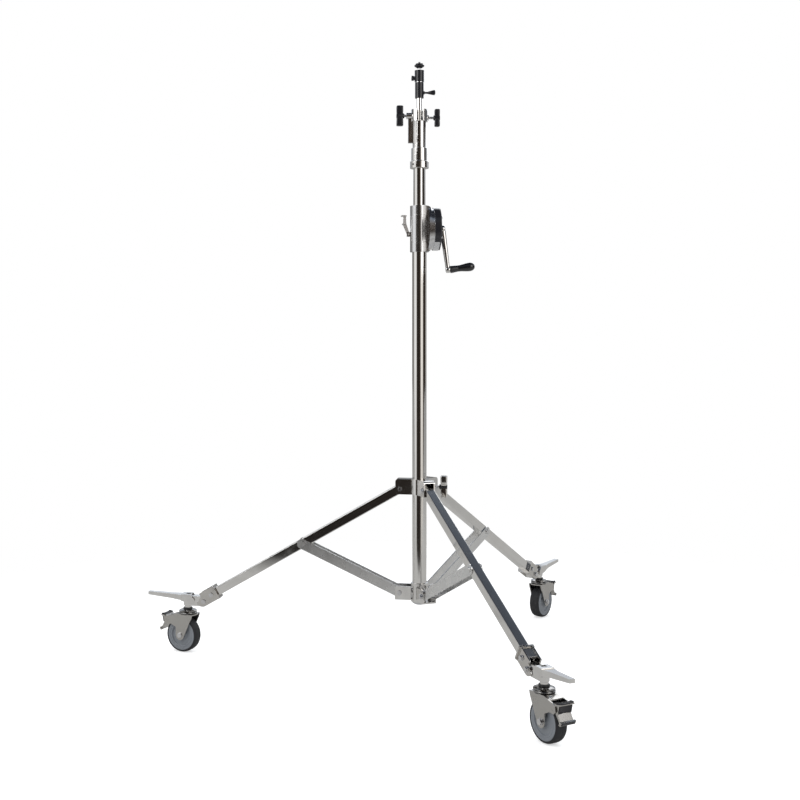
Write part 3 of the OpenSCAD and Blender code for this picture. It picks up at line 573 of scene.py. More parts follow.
def thread(radius: float, pitch: float, low: float, high: float, segments: int = 28) -> Surface:
    """A screw thread: the radius falls by a triangle wave of height / pitch - angle / turn.

    Args:
        radius: the crest's radius.
        pitch: the distance between two crests.
        low: lowest height.
        high: highest height.
        segments: steps round the axis.

    Returns:
        The closed threaded rod.
    """
    rows = int((high - low) / pitch * 8) + 2
    h = np.linspace(low, high, rows)[:, None]
    angle = np.linspace(0, 2 * math.pi, segments, endpoint=False)[None, :]
    wave = np.abs(((h / pitch - angle / (2 * math.pi)) % 1.0) * 2 - 1)
    fade = np.clip(np.minimum(h - low, high - h) / pitch, 0, 1)
    r = radius - 0.5 * pitch * (wave * fade + 0.6 * (1 - fade))
    points = np.stack([r * np.cos(angle), r * np.sin(angle), np.broadcast_to(h, r.shape)], -1)
    ends = np.zeros((1, segments, 3))
    return sheet_of(np.vstack([ends + [0, 0, low], points, ends + [0, 0, high]]))


def loft(centres: np.ndarray, half_a: np.ndarray, half_b: np.ndarray, power: float, along_a: np.ndarray,
         along_b: np.ndarray, around: int = 40) -> Surface:
    """Carries a superellipse along a path: |a / half_a|^power + |b / half_b|^power = 1 in each section.

    Args:
        centres: the path's points, n by 3.
        half_a: half sizes along the first direction, n.
        half_b: half sizes along the second direction, n.
        power: 2 gives ellipses and larger powers squarer sections.
        along_a: first direction, 3 or n by 3.
        along_b: second direction, 3 or n by 3.
        around: points round a section.

    Returns:
        The closed surface.
    """
    angle = np.linspace(0, 2 * math.pi, around, endpoint=False)
    a = np.sign(np.cos(angle)) * np.abs(np.cos(angle)) ** (2 / power)
    b = np.sign(np.sin(angle)) * np.abs(np.sin(angle)) ** (2 / power)
    along_a = np.broadcast_to(along_a, centres.shape)
    along_b = np.broadcast_to(along_b, centres.shape)
    points = (centres[:, None] + half_a[:, None, None] * a[None, :, None] * along_a[:, None]
              + half_b[:, None, None] * b[None, :, None] * along_b[:, None])
    first = np.broadcast_to(centres[:1, None], (1, around, 3))
    last = np.broadcast_to(centres[-1:, None], (1, around, 3))
    return sheet_of(np.vstack([first, points, last]))


def round_ends(steps: int, length: float, radius: float) -> tuple[np.ndarray, np.ndarray]:
    """Places along a bar with round ends, and how far its section shrinks there.

    Near an end the shrinkage is radius minus the height of a circle of that radius.

    Args:
        steps: points along the middle.
        length: the bar's length, centred on 0.
        radius: radius of the round ends.

    Returns:
        Places along the bar, and the amount to take off each half size.
    """
    turn = np.linspace(0, math.pi / 2, 7)
    end = radius * (1 - np.cos(turn))
    middle = np.linspace(radius, length - radius, steps)[1:-1]
    places = np.concatenate([end, middle, length - end[::-1]]) - length / 2
    rise = radius * (1 - np.sin(turn))
    return places, np.concatenate([rise, np.zeros(len(middle)), rise[::-1]])


# Pieces


@dataclass
class Maker:
    """Turns surfaces and CAD nodes into finished pieces that ride on bodies.

    Attributes:
        made: materials made so far, by the names of their finishes.
        count: pieces made so far.
        flat: faces of a CAD node that meet at less than this angle are merged, in degrees.
        kept_sharp: edges of a softened copy above this angle stay sharp, in degrees.
        rounded: edges above this angle are rounded, in degrees.
    """

    made: dict = field(default_factory=dict)
    count: int = 0
    flat: float = 0.4
    kept_sharp: float = 30.0
    rounded: float = 32.0

    def material(self, name: str) -> bpy.types.Material:
        """Returns the material of one finish, built at its first use."""
        if name not in self.made:
            self.made[name] = FINISHES[name].material()
        return self.made[name]

    def piece(self, name: str, surface: Surface, body: str, finish: str,
              replaced: tuple = (), sharp: float = 38.0) -> None:
        """Makes a mesh object of a surface: merged, facing outwards and smooth up to an angle.

        Args:
            name: the piece's name.
            surface: its surface in the row's frame.
            body: the body that it rides on.
            finish: name of its finish.
            replaced: CAD nodes that it stands for.
            sharp: edges above this angle stay sharp, in degrees.
        """
        mesh = bpy.data.meshes.new(name)
        mesh.from_pydata(surface.vertices.tolist(), [], surface.faces.tolist())
        with reshaping(mesh, 1e-6) as shape:
            bmesh.ops.recalc_face_normals(shape, faces=shape.faces)
        self.dress(name, mesh, body, finish, replaced, sharp)

    def dress(self, name: str, mesh: bpy.types.Mesh, body: str, finish: str, replaced: tuple,
              sharp: float) -> bpy.types.Object:
        """Gives a mesh its object, finish and body, with the other values as piece takes them.

        Returns:
            The new object.
        """
        mesh.polygons.foreach_set("use_smooth", np.ones(len(mesh.polygons), bool))
        mesh.set_sharp_from_angle(angle=math.radians(sharp))
        mesh.materials.clear()
        mesh.materials.append(self.material(finish))
        thing = put(name, mesh)
        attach(thing, body)
        if replaced:
            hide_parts(*replaced)
        self.count += 1
        LOG.info("%s: %d faces on %s", name, len(mesh.polygons), body)
        return thing

    def softened(self, node: str, name: str, finish: str, width: float) -> None:
        """Copies a CAD node, merges its triangles into flat faces and rounds its edges.

        The copy rides on the node's own body.

        Args:
            node: the CAD node that the copy stands for.
            name: the copy's name.
            finish: name of its finish.
            width: width of the rounding in millimetres.
        """
        mesh = frame["nodes"][node].data.copy()
        mesh.name = name
        with reshaping(mesh, 2e-6) as shape:
            bmesh.ops.dissolve_limit(shape, angle_limit=math.radians(self.flat), verts=shape.verts,
                                     edges=shape.edges)
        thing = self.dress(name, mesh, body_of(node), finish, (node,), self.kept_sharp)
        rounding = thing.modifiers.new("rounding", "BEVEL")
        rounding.width = width * MM
        rounding.segments = 3
        rounding.limit_method = "ANGLE"
        rounding.angle_limit = math.radians(self.rounded)
        rounding.harden_normals = True

    def soften_all(self, rows: tuple, side: str = "") -> None:
        """Softens several CAD nodes.

        Args:
            rows: node, piece, finish, slot and width of the rounding in millimetres.
            side: ending of the names of nodes and pieces.
        """
        for node, name, finish, slot, width in rows:
            self.softened(node + side, name + side, finish, width)

    def paint(self, node: str, finish: str) -> None:
        """Gives a CAD node, whose shape is right, its finish."""
        thing = frame["nodes"][node]
        thing.data.materials.clear()
        thing.data.materials.append(self.material(finish))


@contextmanager
def reshaping(mesh: bpy.types.Mesh, distance: float) -> Iterator[bmesh.types.BMesh]:
    """Opens a mesh for editing, with vertices merged within a distance in metres, and writes it back."""
    shape = bmesh.new()
    shape.from_mesh(mesh)
    bmesh.ops.remove_doubles(shape, verts=shape.verts, dist=distance)
    yield shape
    shape.to_mesh(mesh)
    shape.free()


def put(name: str, data: bpy.types.ID) -> bpy.types.Object:
    """Adds an object with its data to the scene."""
    thing = bpy.data.objects.new(name, data)
    bpy.context.scene.collection.objects.link(thing)
    return thing


def body_of(node: str) -> str:
    """The body that a CAD node belongs to."""
    bodies = frame["record"]["behaviour"]["bodies"]
    return next(body for body, nodes in bodies.items() if node in nodes)


# Sub-assemblies


@dataclass
class ClampBar:
    """A clamp screw with a waisted bar that is turned by hand.

    Attributes:
        node: the CAD node that it stands for.
        joint_name: the joint that it turns on.
        outward: 1 where the bar lies along the joint's axis and -1 where it lies against it.
        bar: thickness of the bar along its screw.
        finish: name of the bar's finish.
        band: finish of the bar's middle band.
        width: width of the bar.
        waist: how far the bar's sides draw in at its middle.
        waist_share: reach of the waist to each side as a share of the bar's length.
        end_r: radius of the bar's round ends.
        shank: radius of the screw.
        pitch: distance between two of the screw's crests.
    """

    node: str
    joint_name: str
    outward: float
    bar: float
    finish: str
    band: str
    width: float = 17 * MM
    waist: float = 2.2 * MM
    waist_share: float = 0.17
    end_r: float = 3.2 * MM
    shank: float = 3.95 * MM
    pitch: float = 1.25 * MM

    def build(self, maker: Maker) -> None:
        """Makes the bar, its band and its threaded screw."""
        axes = Axes.of_joint(self.joint_name, self.outward)
        low, high = axes.extent(self.node)
        length = high[0] - low[0]
        outer = high[2]
        inner = outer - self.bar
        body = body_of(self.node)
        places, shrink = round_ends(30, length, self.end_r)
        dip = np.exp(-(places / (self.waist_share * length)) ** 2)
        centres = np.stack([places, np.zeros_like(places), np.full_like(places, (inner + outer) / 2)], -1)
        bar = loft(centres, self.width / 2 - shrink - self.waist * dip,
                   self.bar / 2 - shrink - 1.0 * MM * dip, 5.0, ALONG_Y, UP, 48)
        maker.piece(self.node + "_bar", bar.at(axes), body, self.finish, (self.node,))
        thin, middle, wide = self.width * 0.34, self.width * 0.40, self.width * 0.44
        neck = [(inner - 3 * MM, thin), (inner - 2.2 * MM, middle), (inner + 0.5 * MM, wide),
                (outer - 0.5 * MM, wide), (outer - 0.1 * MM, middle)]
        maker.piece(self.node + "_hub", lathe(neck, 48).at(axes), body, self.band)
        screw = thread(self.shank, self.pitch, low[2], inner - 1 * MM)
        maker.piece(self.node + "_screw", screw.at(axes), body, "fastener")


@dataclass
class Mast:
    """The column, the two sliding tubes, the cable and the collar between the tubes.

    Attributes:
        strand: radius of one strand of the cable.
        lay: length of the cable over which a strand goes once round.
        strands: strands round the cable's core.
        cable_r: radius of the whole cable.
        set_screw_at: where the collar's set screw is, in degrees about z from the x axis.
    """

    strand: float = 0.42 * MM
    lay: float = 11 * MM
    strands: int = 5
    cable_r: float = 1.2 * MM
    set_screw_at: float = -126.0

    def cable(self, maker: Maker) -> None:
        """Lays strands round the cable's core.

        Each strand is a tube of five sides whose centre is a helix: angle 2 pi h / lay about the cable's
        axis, at the cable's radius less the strand's.
        """
        low, high = (np.array(corner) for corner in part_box("lifting_cable"))
        centre = (low + high) / 2
        rows = int((high[2] - low[2]) / self.lay * 9)
        h = np.linspace(low[2], high[2], rows)
        ring = np.linspace(0, 2 * math.pi, 5, endpoint=False)
        strands = []
        for start in np.arange(self.strands) * 2 * math.pi / self.strands:
            turn = 2 * math.pi * (h - low[2]) / self.lay + start
            out = np.stack([np.cos(turn), np.sin(turn)], -1)
            side = np.stack([-np.sin(turn), np.cos(turn)], -1)
            flat = (out[:, None] * (self.cable_r - self.strand + self.strand * np.cos(ring))[None, :, None]
                    + side[:, None] * (self.strand * 1.35 * np.sin(ring))[None, :, None])
            points = np.concatenate([flat + centre[:2], np.broadcast_to(h[:, None, None], (rows, 5, 1))], -1)
            caps = [np.broadcast_to(points[i].mean(0), (1, 5, 3)) for i in (0, -1)]
            strands.append(sheet_of(np.vstack([caps[0], points, caps[1]])))
        maker.piece("lifting_cable_strands", together(strands), "riser", "cable",
                    ("lifting_cable",), 60)

    def build(self, maker: Maker) -> None:
        """Dresses the tubes, the bush, the plug and the collar, and makes the cable and a set screw."""
        for node in ("column_tube", "middle_tube", "top_tube"):
            maker.paint(node, "tube")
        maker.paint("column_bush", "guide")
        maker.soften_all((
            ("base_plug", "column_foot_plug", "cast", Slot.CAST, 1.2),
            ("middle_collar", "middle_tube_collar", "polished", Slot.POLISHED, 1.4),
        ))
        self.cable(maker)
        low, high = (np.array(corner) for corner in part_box("middle_collar"))
        radius = (high[0] - low[0]) / 2
        side = math.radians(self.set_screw_at)
        out = np.array([math.cos(side), math.sin(side), 0])
        axes = Axes.about(out * radius + UP * (low[2] + 10 * MM), out, UP)
        head = profile([(-1, 2.6), (0.5, 2.6), (0.9, 2.2), (0.9, 1.3), (-0.2, 1.25)])
        maker.piece("collar_set_screw", lathe(head, 32).at(axes), "riser", "black")


@dataclass
class Winch:
    """The winch: case, cover, crank with its grip, and the slip lever.

    Attributes:
        panel: half width and half height of the outlined panel on the case.
        panel_corner: radius of the panel's corners.
        panel_line: half width and height of the line round the panel.
        sleeve_r: radius of the case's sleeve.
        flat_y: distance of the case's flat front from the mast's axis.
        arm_top: half width and half thickness of the crank arm at its hub.
        arm_end: the same at the grip.
        elbow: radius of the arm's elbow.
        lean: lean of the crank arm from upright where its elbow ends, in degrees.
        hub_r: radius of the crank's hub.
        grip_start: where the grip starts along its pin.
        panel_shift: how far the panel's middle is from the crank shaft's upright plane, along the shaft.
    """

    panel: tuple = (19.5 * MM, 38 * MM)
    panel_corner: float = 6 * MM
    panel_line: tuple = (0.45 * MM, 0.3 * MM)
    sleeve_r: float = 26 * MM
    flat_y: float = 25 * MM
    arm_top: tuple = (10.0 * MM, 8.2 * MM)
    arm_end: tuple = (6.4 * MM, 6.0 * MM)
    elbow: float = 8.4 * MM
    lean: float = 7.0
    hub_r: float = 11.5 * MM
    grip_start: float = 7.4 * MM
    panel_shift: float = -4 * MM

    def axes(self) -> Axes:
        """Axes at the crank shaft: x outwards along it, z up."""
        return Axes.beside_joint("crank_turn")

    def outline(self, maker: Maker) -> None:
        """Runs a thin raised line round a bare panel on the case's front.

        The line's centre is a rounded rectangle in x and z, a quarter circle at each corner, laid on the
        case: y = -max(sqrt(r^2 - x^2), flat). Its section is raised along the sleeve's radius, or along y
        on the flat.
        """
        half_w, half_h = self.panel
        corner = self.panel_corner
        turn = np.linspace(0, math.pi / 2, 9)
        right = math.pi / 2
        corners = ((1, 1, 0), (-1, 1, right), (-1, -1, 2 * right), (1, -1, 3 * right))
        loop = np.vstack([
            np.stack([sx * (half_w - corner) + corner * np.cos(turn + quarter),
                      sz * (half_h - corner) + corner * np.sin(turn + quarter)], -1)
            for sx, sz, quarter in corners])
        loop = np.vstack([np.linspace(loop[i], loop[(i + 1) % len(loop)], 6, endpoint=False)
                          for i in range(len(loop))])
        ahead = np.roll(loop, -1, 0) - np.roll(loop, 1, 0)
        ahead /= np.linalg.norm(ahead, axis=1)[:, None]
        aside = np.stack([ahead[:, 1], -ahead[:, 0]], -1)
        ring = np.linspace(0, 2 * math.pi, 8, endpoint=False)
        flat = loop[:, None] + aside[:, None] * (self.panel_line[0] * np.cos(ring))[None, :, None]
        x = flat[..., 0] + self.panel_shift
        out = self.panel_line[1] * np.sin(ring)[None, :]
        sleeve_y = np.sqrt(np.maximum(self.sleeve_r**2 - x**2, 0))
        on_sleeve = sleeve_y > self.flat_y * (x > 0)
        grown = 1 + out / self.sleeve_r
        y = -np.where(on_sleeve, sleeve_y * grown, self.flat_y + out)
        x = np.where(on_sleeve, x * grown, x)
        line = sheet_of(np.stack([x, y, flat[..., 1]], -1), loop_rows=True)
        maker.piece("case_panel_line", line.at(self.axes()), "mast", "polished")

    def crank(self, maker: Maker) -> None:
        """Makes the arm with its hub and eye, and the grip.

        The arm leaves the hub along the shaft, turns down through an elbow, a circle's arc, and runs
        straight to the eye while its section tapers. The grip narrows from its collar, swells again and
        closes in a round tip.
        """
        axes = self.axes()
        eye_axes = Axes.of_joint("grip_spin")
        pin = axes.local(eye_axes.origin)
        hub_low = axes.extent("crank_arm")[0][0]
        hub_high = axes.extent("cable_drum")[1][0] + 3 * MM
        bend = np.radians(np.linspace(0, 90 - self.lean, 14))
        turned = np.stack([hub_low - 0.2 * MM + self.elbow * np.sin(bend), 0 * bend,
                           self.elbow * (np.cos(bend) - 1)], -1)
        t = np.linspace(0, 1, 32)[1:, None]
        eye_middle = pin + 1.0 * MM * ALONG_X
        path = np.vstack([turned, turned[-1] + (eye_middle - turned[-1]) * t])
        ahead = np.gradient(path, axis=0)
        ahead /= np.linalg.norm(ahead, axis=1)[:, None]
        outward = np.cross(ALONG_Y, -ahead)
        gone = np.concatenate([[0], np.cumsum(np.linalg.norm(np.diff(path, axis=0), axis=1))])
        share = np.clip((gone / gone[-1] - 0.1) / 0.8, 0, 1)
        half_w = self.arm_top[0] + (self.arm_end[0] - self.arm_top[0]) * share
        half_t = self.arm_top[1] + (self.arm_end[1] - self.arm_top[1]) * share
        arm = loft(path, half_w, half_t, 2.5, ALONG_Y, outward)
        hub = lathe(profile([(0, -1.2), (1.2, 0)], hub_low, self.hub_r)
                    + profile([(-4, 0), (-1.6, -1.0), (-0.3, -3.2), (0, -6)], hub_high, self.hub_r), 56)
        eye = lathe(profile([(-5, 5.5), (-4.4, 7.6), (-3, 8.7), (5, 8.7), (6.4, 8.0), (7, 6.5)]), 48)
        pin_rod = lathe(profile([(0, 3.9), (12, 3.9)]), 24)
        forged = together([arm.at(axes), hub.at(Axes.about(axes.origin, axes.x, UP)), eye.at(eye_axes),
                           pin_rod.at(eye_axes)])
        maker.piece("crank_arm_forged", forged, "crank", "polished", ("crank_arm",), 50)
        start = self.grip_start
        length = eye_axes.extent("crank_grip")[1][2] - start
        s = np.linspace(0, 1, 60)
        collar = 10.6 * MM - 1.6 * MM * np.clip(s / 0.3, 0, 1) ** 1.2
        swell = 3.5 * MM * np.sin(np.clip((s - 0.3) / 0.5, 0, 1) * math.pi / 2) ** 2
        tip = np.sqrt(np.clip(1 - np.clip((s - 0.78) / 0.22, 0, 1) ** 2.2, 0, 1))
        radius = (collar + swell) * tip
        rim = profile([(0, 8.8), (0.3, 10.2)], start)
        handle = list(zip(start + 0.9 * MM + s * (length - 0.9 * MM), np.maximum(radius, 0.0)))
        maker.piece("crank_grip_moulded", lathe(rim + handle, 56).at(eye_axes), "crank_grip", "grip",
                    ("crank_grip",), 60)

    def screws(self, maker: Maker) -> None:
        """Makes the six cover screws: a domed head with a driver's recess, placed by a turn of the first."""
        axes = self.axes()
        face = axes.extent("winch_cover")[0][0] + 4 * MM
        pitch_r = axes.extent("winch_screws")[1][2] - 4 * MM
        head = lathe(profile([(0, 3.9), (0.8, 3.9), (1.7, 3.2), (2.2, 2.0), (2.2, 1.8), (1.0, 1.6)]), 28)
        heads = []
        for angle in np.radians(np.arange(0, 360, 60)):
            centre = np.array([face, -math.sin(angle) * pitch_r, math.cos(angle) * pitch_r])
            heads.append(head.at(Axes.about(axes.place(centre), axes.x, UP)))
        maker.piece("cover_screw_heads", together(heads), "mast", "fastener",
                    ("winch_screws",))

    def build(self, maker: Maker) -> None:
        """Dresses the case, cover, lever and drum, and makes the panel line, the crank and the screws."""
        maker.soften_all((
            ("winch_housing", "winch_case", "case", Slot.CAST, 2.0),
            ("winch_cover", "drum_cover", "drum_black", Slot.BLACK, 1.2),
            ("slip_lever", "slip_lever_pressing", "lever", Slot.PRESSED, 0.8),
        ))
        maker.paint("cable_drum", "fastener")
        self.outline(maker)
        self.crank(maker)
        self.screws(maker)


@dataclass
class HeadFittings:
    """The receiver with its two clamps, the stud, and the adapter with its ball head.

    Attributes:
        blade: length of the wing screw's blade.
        knurl: ridges round the ball's lock knob.
        knurl_depth: half the ridges' depth as a share of the knob's radius.
        stem_r: radius of the ball's stem.
        camera_thread: radius and pitch of the camera screw.
    """

    blade: float = 22 * MM
    knurl: int = 22
    knurl_depth: float = 0.035
    stem_r: float = 3.2 * MM
    camera_thread: tuple = (3.17 * MM, 1.27 * MM)

    def wing_screw(self, maker: Maker) -> None:
        """Makes the adapter's screw: a threaded shank and a thumb blade that widens towards its end."""
        axes = Axes.beside_joint("adapter_screw_turn")
        low, high = axes.extent("adapter_screw")
        t = np.linspace(0, 1, 26)
        reach = high[0] - self.blade + t * self.blade
        tip = np.sqrt(np.clip(1 - np.clip((t - 0.8) / 0.2, 0, 1) ** 2, 0.02, 1))
        edge = np.sqrt(np.clip(1 - np.clip((t - 0.9) / 0.1, 0, 1) ** 2, 0.05, 1))
        height = (3.0 + 5.2 * t ** 0.9) * MM * tip
        thick = (3.4 - 1.2 * np.sin(math.pi * t)) * MM * edge
        centres = np.stack([reach, 0 * t, 1.2 * MM * t], -1)
        blade = loft(centres, thick, height, 2.8, ALONG_Y, UP, 32)
        shank_axes = Axes.about(axes.origin, axes.x, UP)
        shank = thread(3.0 * MM, 1.0 * MM, low[0], high[0] - self.blade + 2 * MM, 22)
        maker.piece("adapter_wing_screw", blade.at(axes) + shank.at(shank_axes), "adapter_screw", "black",
                    ("adapter_screw",), 50)

    def lock_knob(self, maker: Maker) -> None:
        """Makes the ball's knurled lock knob and its shank."""
        axes = Axes.of_joint("ball_knob_turn", -1)
        low, high = axes.extent("ball_knob")
        face = high[2]
        knob = lathe(profile([(-6.4, 5.6), (-5.8, 6.8), (-0.8, 6.8), (0, 5.8)], face), 132, self.knurl,
                     self.knurl_depth)
        shank = lathe([(low[2], 2.4 * MM), (face - 6 * MM, 2.4 * MM)], 20)
        maker.piece("ball_lock_knob", knob.at(axes) + shank.at(axes), "ball_knob", "black",
                    ("ball_knob",), 50)

    def neck_ring(self, maker: Maker) -> None:
        """Makes the bright ring in the neck between the adapter and the ball's housing."""
        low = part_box("stud_adapter")[0]
        axes = Axes.upright(UP * (low[2] + 43 * MM), ALONG_X)
        ring = profile([(0.15, 6.8), (0.15, 10.6), (0.5, 11.2), (2.0, 11.2), (2.35, 10.6), (2.35, 6.8)])
        maker.piece("adapter_neck_ring", lathe(ring, 56, loop=True).at(axes), "adapter", "fastener")

    def platform(self, maker: Maker) -> None:
        """Makes the ball, its stem, the chamfered platform with a pad on top, and the camera screw."""
        axes = Axes.upright(joint("ball_tilt")["pos_m"], ALONG_X)
        low, high = axes.extent("ball_stud")
        ball_r = -low[2]
        top = high[2] - 5 * MM
        turn = np.linspace(0, math.radians(160), 24)
        ball = [(-ball_r * math.cos(a), ball_r * math.sin(a)) for a in turn]
        stem = lathe(ball + [(ball_r * 0.97, self.stem_r), (top - 11.9 * MM, self.stem_r)], 56)
        maker.piece("ball_and_stem", stem.at(axes), "ball", "fastener")
        disc = high[0]
        plate = profile([(-12, 6.6), (-11.6, 7.4)], top)
        plate += profile([(-9, -3), (-7, -0.3), (-6.4, 0), (-4.6, 0), (-4, -0.5), (-1.8, -3)], top, disc)
        maker.piece("camera_platform", lathe(plate, 72).at(axes), "ball", "black",
                    ("ball_stud",))
        pad = lathe(profile([(-2.2, -3.4), (-0.3, -3.4), (0, -3.8)], top, disc))
        maker.piece("platform_pad", pad.at(axes), "ball", "guide")
        screw = thread(*self.camera_thread, top - 1 * MM, high[2])
        maker.piece("camera_screw", screw.at(axes), "ball", "fastener")

    def build(self, maker: Maker) -> None:
        """Dresses the receiver, stud and adapter and makes the clamps and the ball head."""
        maker.soften_all((
            ("receiver", "receiver_casting", "polished", Slot.POLISHED, 1.3),
            ("stud_adapter", "adapter_body", "black", Slot.BLACK, 0.9),
        ))
        maker.paint("stud", "tube")
        ClampBar("receiver_knob_left", "clamp_left_turn", -1, 19 * MM, "black", "black").build(maker)
        ClampBar("receiver_knob_right", "clamp_right_turn", 1, 15 * MM, "black", "black").build(maker)
        self.neck_ring(maker)
        self.wing_screw(maker)
        self.lock_knob(maker)
        self.platform(maker)


@dataclass
class Collars:
    """The leg hub with its clamp, and the collar at the column's foot."""

    def build(self, maker: Maker) -> None:
        """Dresses both castings and their pivot bolts and makes the hub's clamp."""
        maker.soften_all((
            ("leg_hub", "leg_hub_casting", "polished", Slot.POLISHED, 1.5),
            ("hub_pins", "hub_pivot_bolts", "fastener", Slot.FASTENER, 0.5),
            ("base_collar", "base_collar_casting", "polished", Slot.POLISHED, 1.5),
            ("base_pins", "base_pivot_bolts", "fastener", Slot.FASTENER, 0.5),
        ))
        ClampBar("hub_knob", "hub_knob_turn", 1, 19 * MM, "polished", "black").build(maker)


@dataclass
class Leg:
    """One leg: its square tube, end fitting, bolts and brace.

    Attributes:
        side: the leg's name.
    """

    side: str

    def build(self, maker: Maker) -> None:
        """Dresses the leg's tube and rounds the edges of its fitting, bolts and brace."""
        maker.paint(f"leg_tube_{self.side}", "tube")
        maker.soften_all((
            ("leg_fitting_", "leg_end_fitting_", "pressed", Slot.PRESSED, 1.0),
            ("leg_bolts_", "leg_fitting_bolts_", "fastener", Slot.FASTENER, 0.5),
            ("brace_", "brace_straps_", "satin", Slot.PRESSED, 0.7),
        ), self.side)


@dataclass
class Caster:
    """One caster: carrier, foot lever, fork, bearing rings, wheel, tyre and brake pedal.

    Attributes:
        side: the leg's name.
        half_w: half the width of the tyre.
        shoulder: width of the tyre's rounded shoulder.
    """

    side: str
    half_w: float = 16 * MM
    shoulder: float = 9.5 * MM

    def wheel(self, maker: Maker) -> None:
        """Makes the wheel's centre with its grooves, and the tyre with its crown and moulding lines."""
        axes = Axes.of_joint(f"wheel_{self.side}_roll")
        tyre_r = axes.extent(f"tyre_{self.side}")[1][0]
        core_high = axes.extent(f"wheel_core_{self.side}")[1]
        rim_r, hub_half = core_high[0], core_high[2]
        bore = 5.06 * MM
        half = [(hub_half, bore), (hub_half, 9.5 * MM), (hub_half - 0.8 * MM, 10.5 * MM)]
        half += profile([(13.6, 11.5), (13.2, 14), (12.4, 14.8), (11.2, 16.4)])
        half += profile([(11.2, -14.6), (11.8, -13.6), (14.2, -12.8), (14.8, -12.2), (15.0, -11.9),
                         (15.0, -8.6), (14.3, -8.2), (14.3, -7.0), (15.0, -6.6), (15.4, -1.6),
                         (15.0, -0.5), (14.2, 0)], 0, rim_r)
        core = both_halves(half)
        maker.piece(f"wheel_centre_{self.side}", lathe(core, 96, loop=True).at(axes), f"wheel_{self.side}",
                    "wheel", (f"wheel_core_{self.side}",), 30)
        quarter = np.linspace(0, math.pi / 2, 12)
        lip_r = rim_r + 1.4 * MM
        edge = [(self.half_w - self.shoulder * (1 - math.cos(a)), lip_r + (tyre_r - lip_r) * math.sin(a))
                for a in quarter]
        tread = [(h, tyre_r) for h in np.linspace(5, 0.9, 4) * MM]
        seam = profile([(0.45, -0.25), (0.0, -0.25)], 0, tyre_r)
        seat = profile([(-1.8, 0.1), (-0.5, 0.3)], self.half_w, rim_r)
        tyre = both_halves(seat + edge + tread + seam)
        maker.piece(f"tyre_moulded_{self.side}", lathe(tyre, 112, loop=True).at(axes),
                    f"wheel_{self.side}", "tyre", (f"tyre_{self.side}",), 50)

    def bearing(self, maker: Maker) -> None:
        """Makes the swivel's rolled rim on the fork, and the cap and dark seal ring on the carrier. The rim and
        the cap are chrome with a dark colour painted on as shade and reflection.
        """
        centre = np.array(joint(f"fork_{self.side}_swivel")["pos_m"])
        axes = Axes.upright(centre * (ALONG_X + ALONG_Y), ALONG_X)
        crown = axes.extent(f"caster_fork_{self.side}")[1][2]
        turn = np.linspace(0, 2 * math.pi, 20, endpoint=False)
        rims = [lathe([(crown + z * MM + deep * MM * math.sin(a), r * MM + 2.4 * MM * math.cos(a))
                       for a in turn], 72, loop=True)
                for z, deep, r in ((-2.7, 2.5, 23.4), (-7.0, 1.6, 21.6))]
        # painted shade: the rim takes the bearing's darkened chrome
        maker.piece(f"swivel_rim_{self.side}", together(rims).at(axes), f"fork_{self.side}", "bearing")
        seat = crown + 0.4 * MM
        cap = profile([(0, 24.6), (1.0, 25.4), (3.0, 25.2), (4.2, 22.4), (5.8, 17.6), (6.3, 11)], seat)
        # painted shade: the cap takes the bearing's darkened chrome
        maker.piece(f"swivel_cap_{self.side}", lathe(cap, 72).at(axes), f"carrier_{self.side}", "bearing")
        seal = profile([(6.0, 10.1), (6.0, 12.6), (7.0, 13.2), (10.4, 13.2), (11.2, 12.4), (11.2, 10.1)],
                       seat)
        maker.piece(f"stem_seal_{self.side}", lathe(seal, 56, loop=True).at(axes),
                    f"carrier_{self.side}", "guide")

    def pedal_pads(self, maker: Maker) -> None:
        """Makes the pedal's black pads: a ribbed one on its tread, a hollow one under it and one on its lip.

        Over the distance y from the pedal's middle, the tread's ends rise by the fourth power of y and the
        hollow pad's face comes forward by its square.
        """
        info = joint(f"pedal_{self.side}_press")
        across = np.array(info["axis"])
        axes = Axes(np.array(info["pos_m"]), np.cross(across, UP), across, UP)
        half = axes.extent(f"brake_pedal_{self.side}")[1][1] - 1.6 * MM
        places, shrink = round_ends(24, 2 * half, 1.2 * MM)
        tilt = math.radians(8)
        along = np.array([math.cos(tilt), 0, math.sin(tilt)])
        out = np.array([-math.sin(tilt), 0, math.cos(tilt)])
        centre = np.array([9.5 * MM, 0, 9 * MM]) + along * 6.8 * MM + out * 3.6 * MM
        horn = 2.4 * MM * (places / half) ** 4
        row = centre + places[:, None] * ALONG_Y + horn[:, None] * UP
        pad = loft(row, 6.6 * MM - shrink, 1.7 * MM - 0.5 * shrink, 6.0, along, out)
        for step in (-3.6, -1.2, 1.2, 3.6):
            rib = row + along * step * MM + out * 1.6 * MM
            pad = pad + loft(rib * np.array([1, 0.93, 1]), 0.55 * MM - 0.12 * shrink, 0.7 * MM - 0.3 * shrink,
                             2.4, along, out, 14)
        down = np.array([-4.0, 0, -17.0]) / math.hypot(4, 17)
        front = np.array([17.0, 0, -4.0]) / math.hypot(4, 17)
        hollow_row = (np.array([16.2 * MM, 0, 1.6 * MM]) + 0.86 * places[:, None] * ALONG_Y
                      + (1.8 * MM * (places / half) ** 2)[:, None] * front)
        pad = pad + loft(hollow_row, 9.2 * MM - shrink, 1.7 * MM - 0.5 * shrink, 5.0, down, front)
        maker.piece(f"pedal_tread_pad_{self.side}", pad.at(axes), f"pedal_{self.side}", "pad")
        lean = math.radians(28)
        rise = np.array([math.sin(lean), 0, math.cos(lean)])
        face = np.array([math.cos(lean), 0, -math.sin(lean)])
        centre = np.array([20 * MM, 0, -30 * MM]) + rise * 5.2 * MM + face * 5.0 * MM
        lip = loft(centre + 0.94 * places[:, None] * ALONG_Y, 3.7 * MM - shrink,
                   0.9 * MM - 0.4 * shrink, 6.0, rise, face)
        maker.piece(f"pedal_lip_pad_{self.side}", lip.at(axes), f"pedal_{self.side}", "pad")

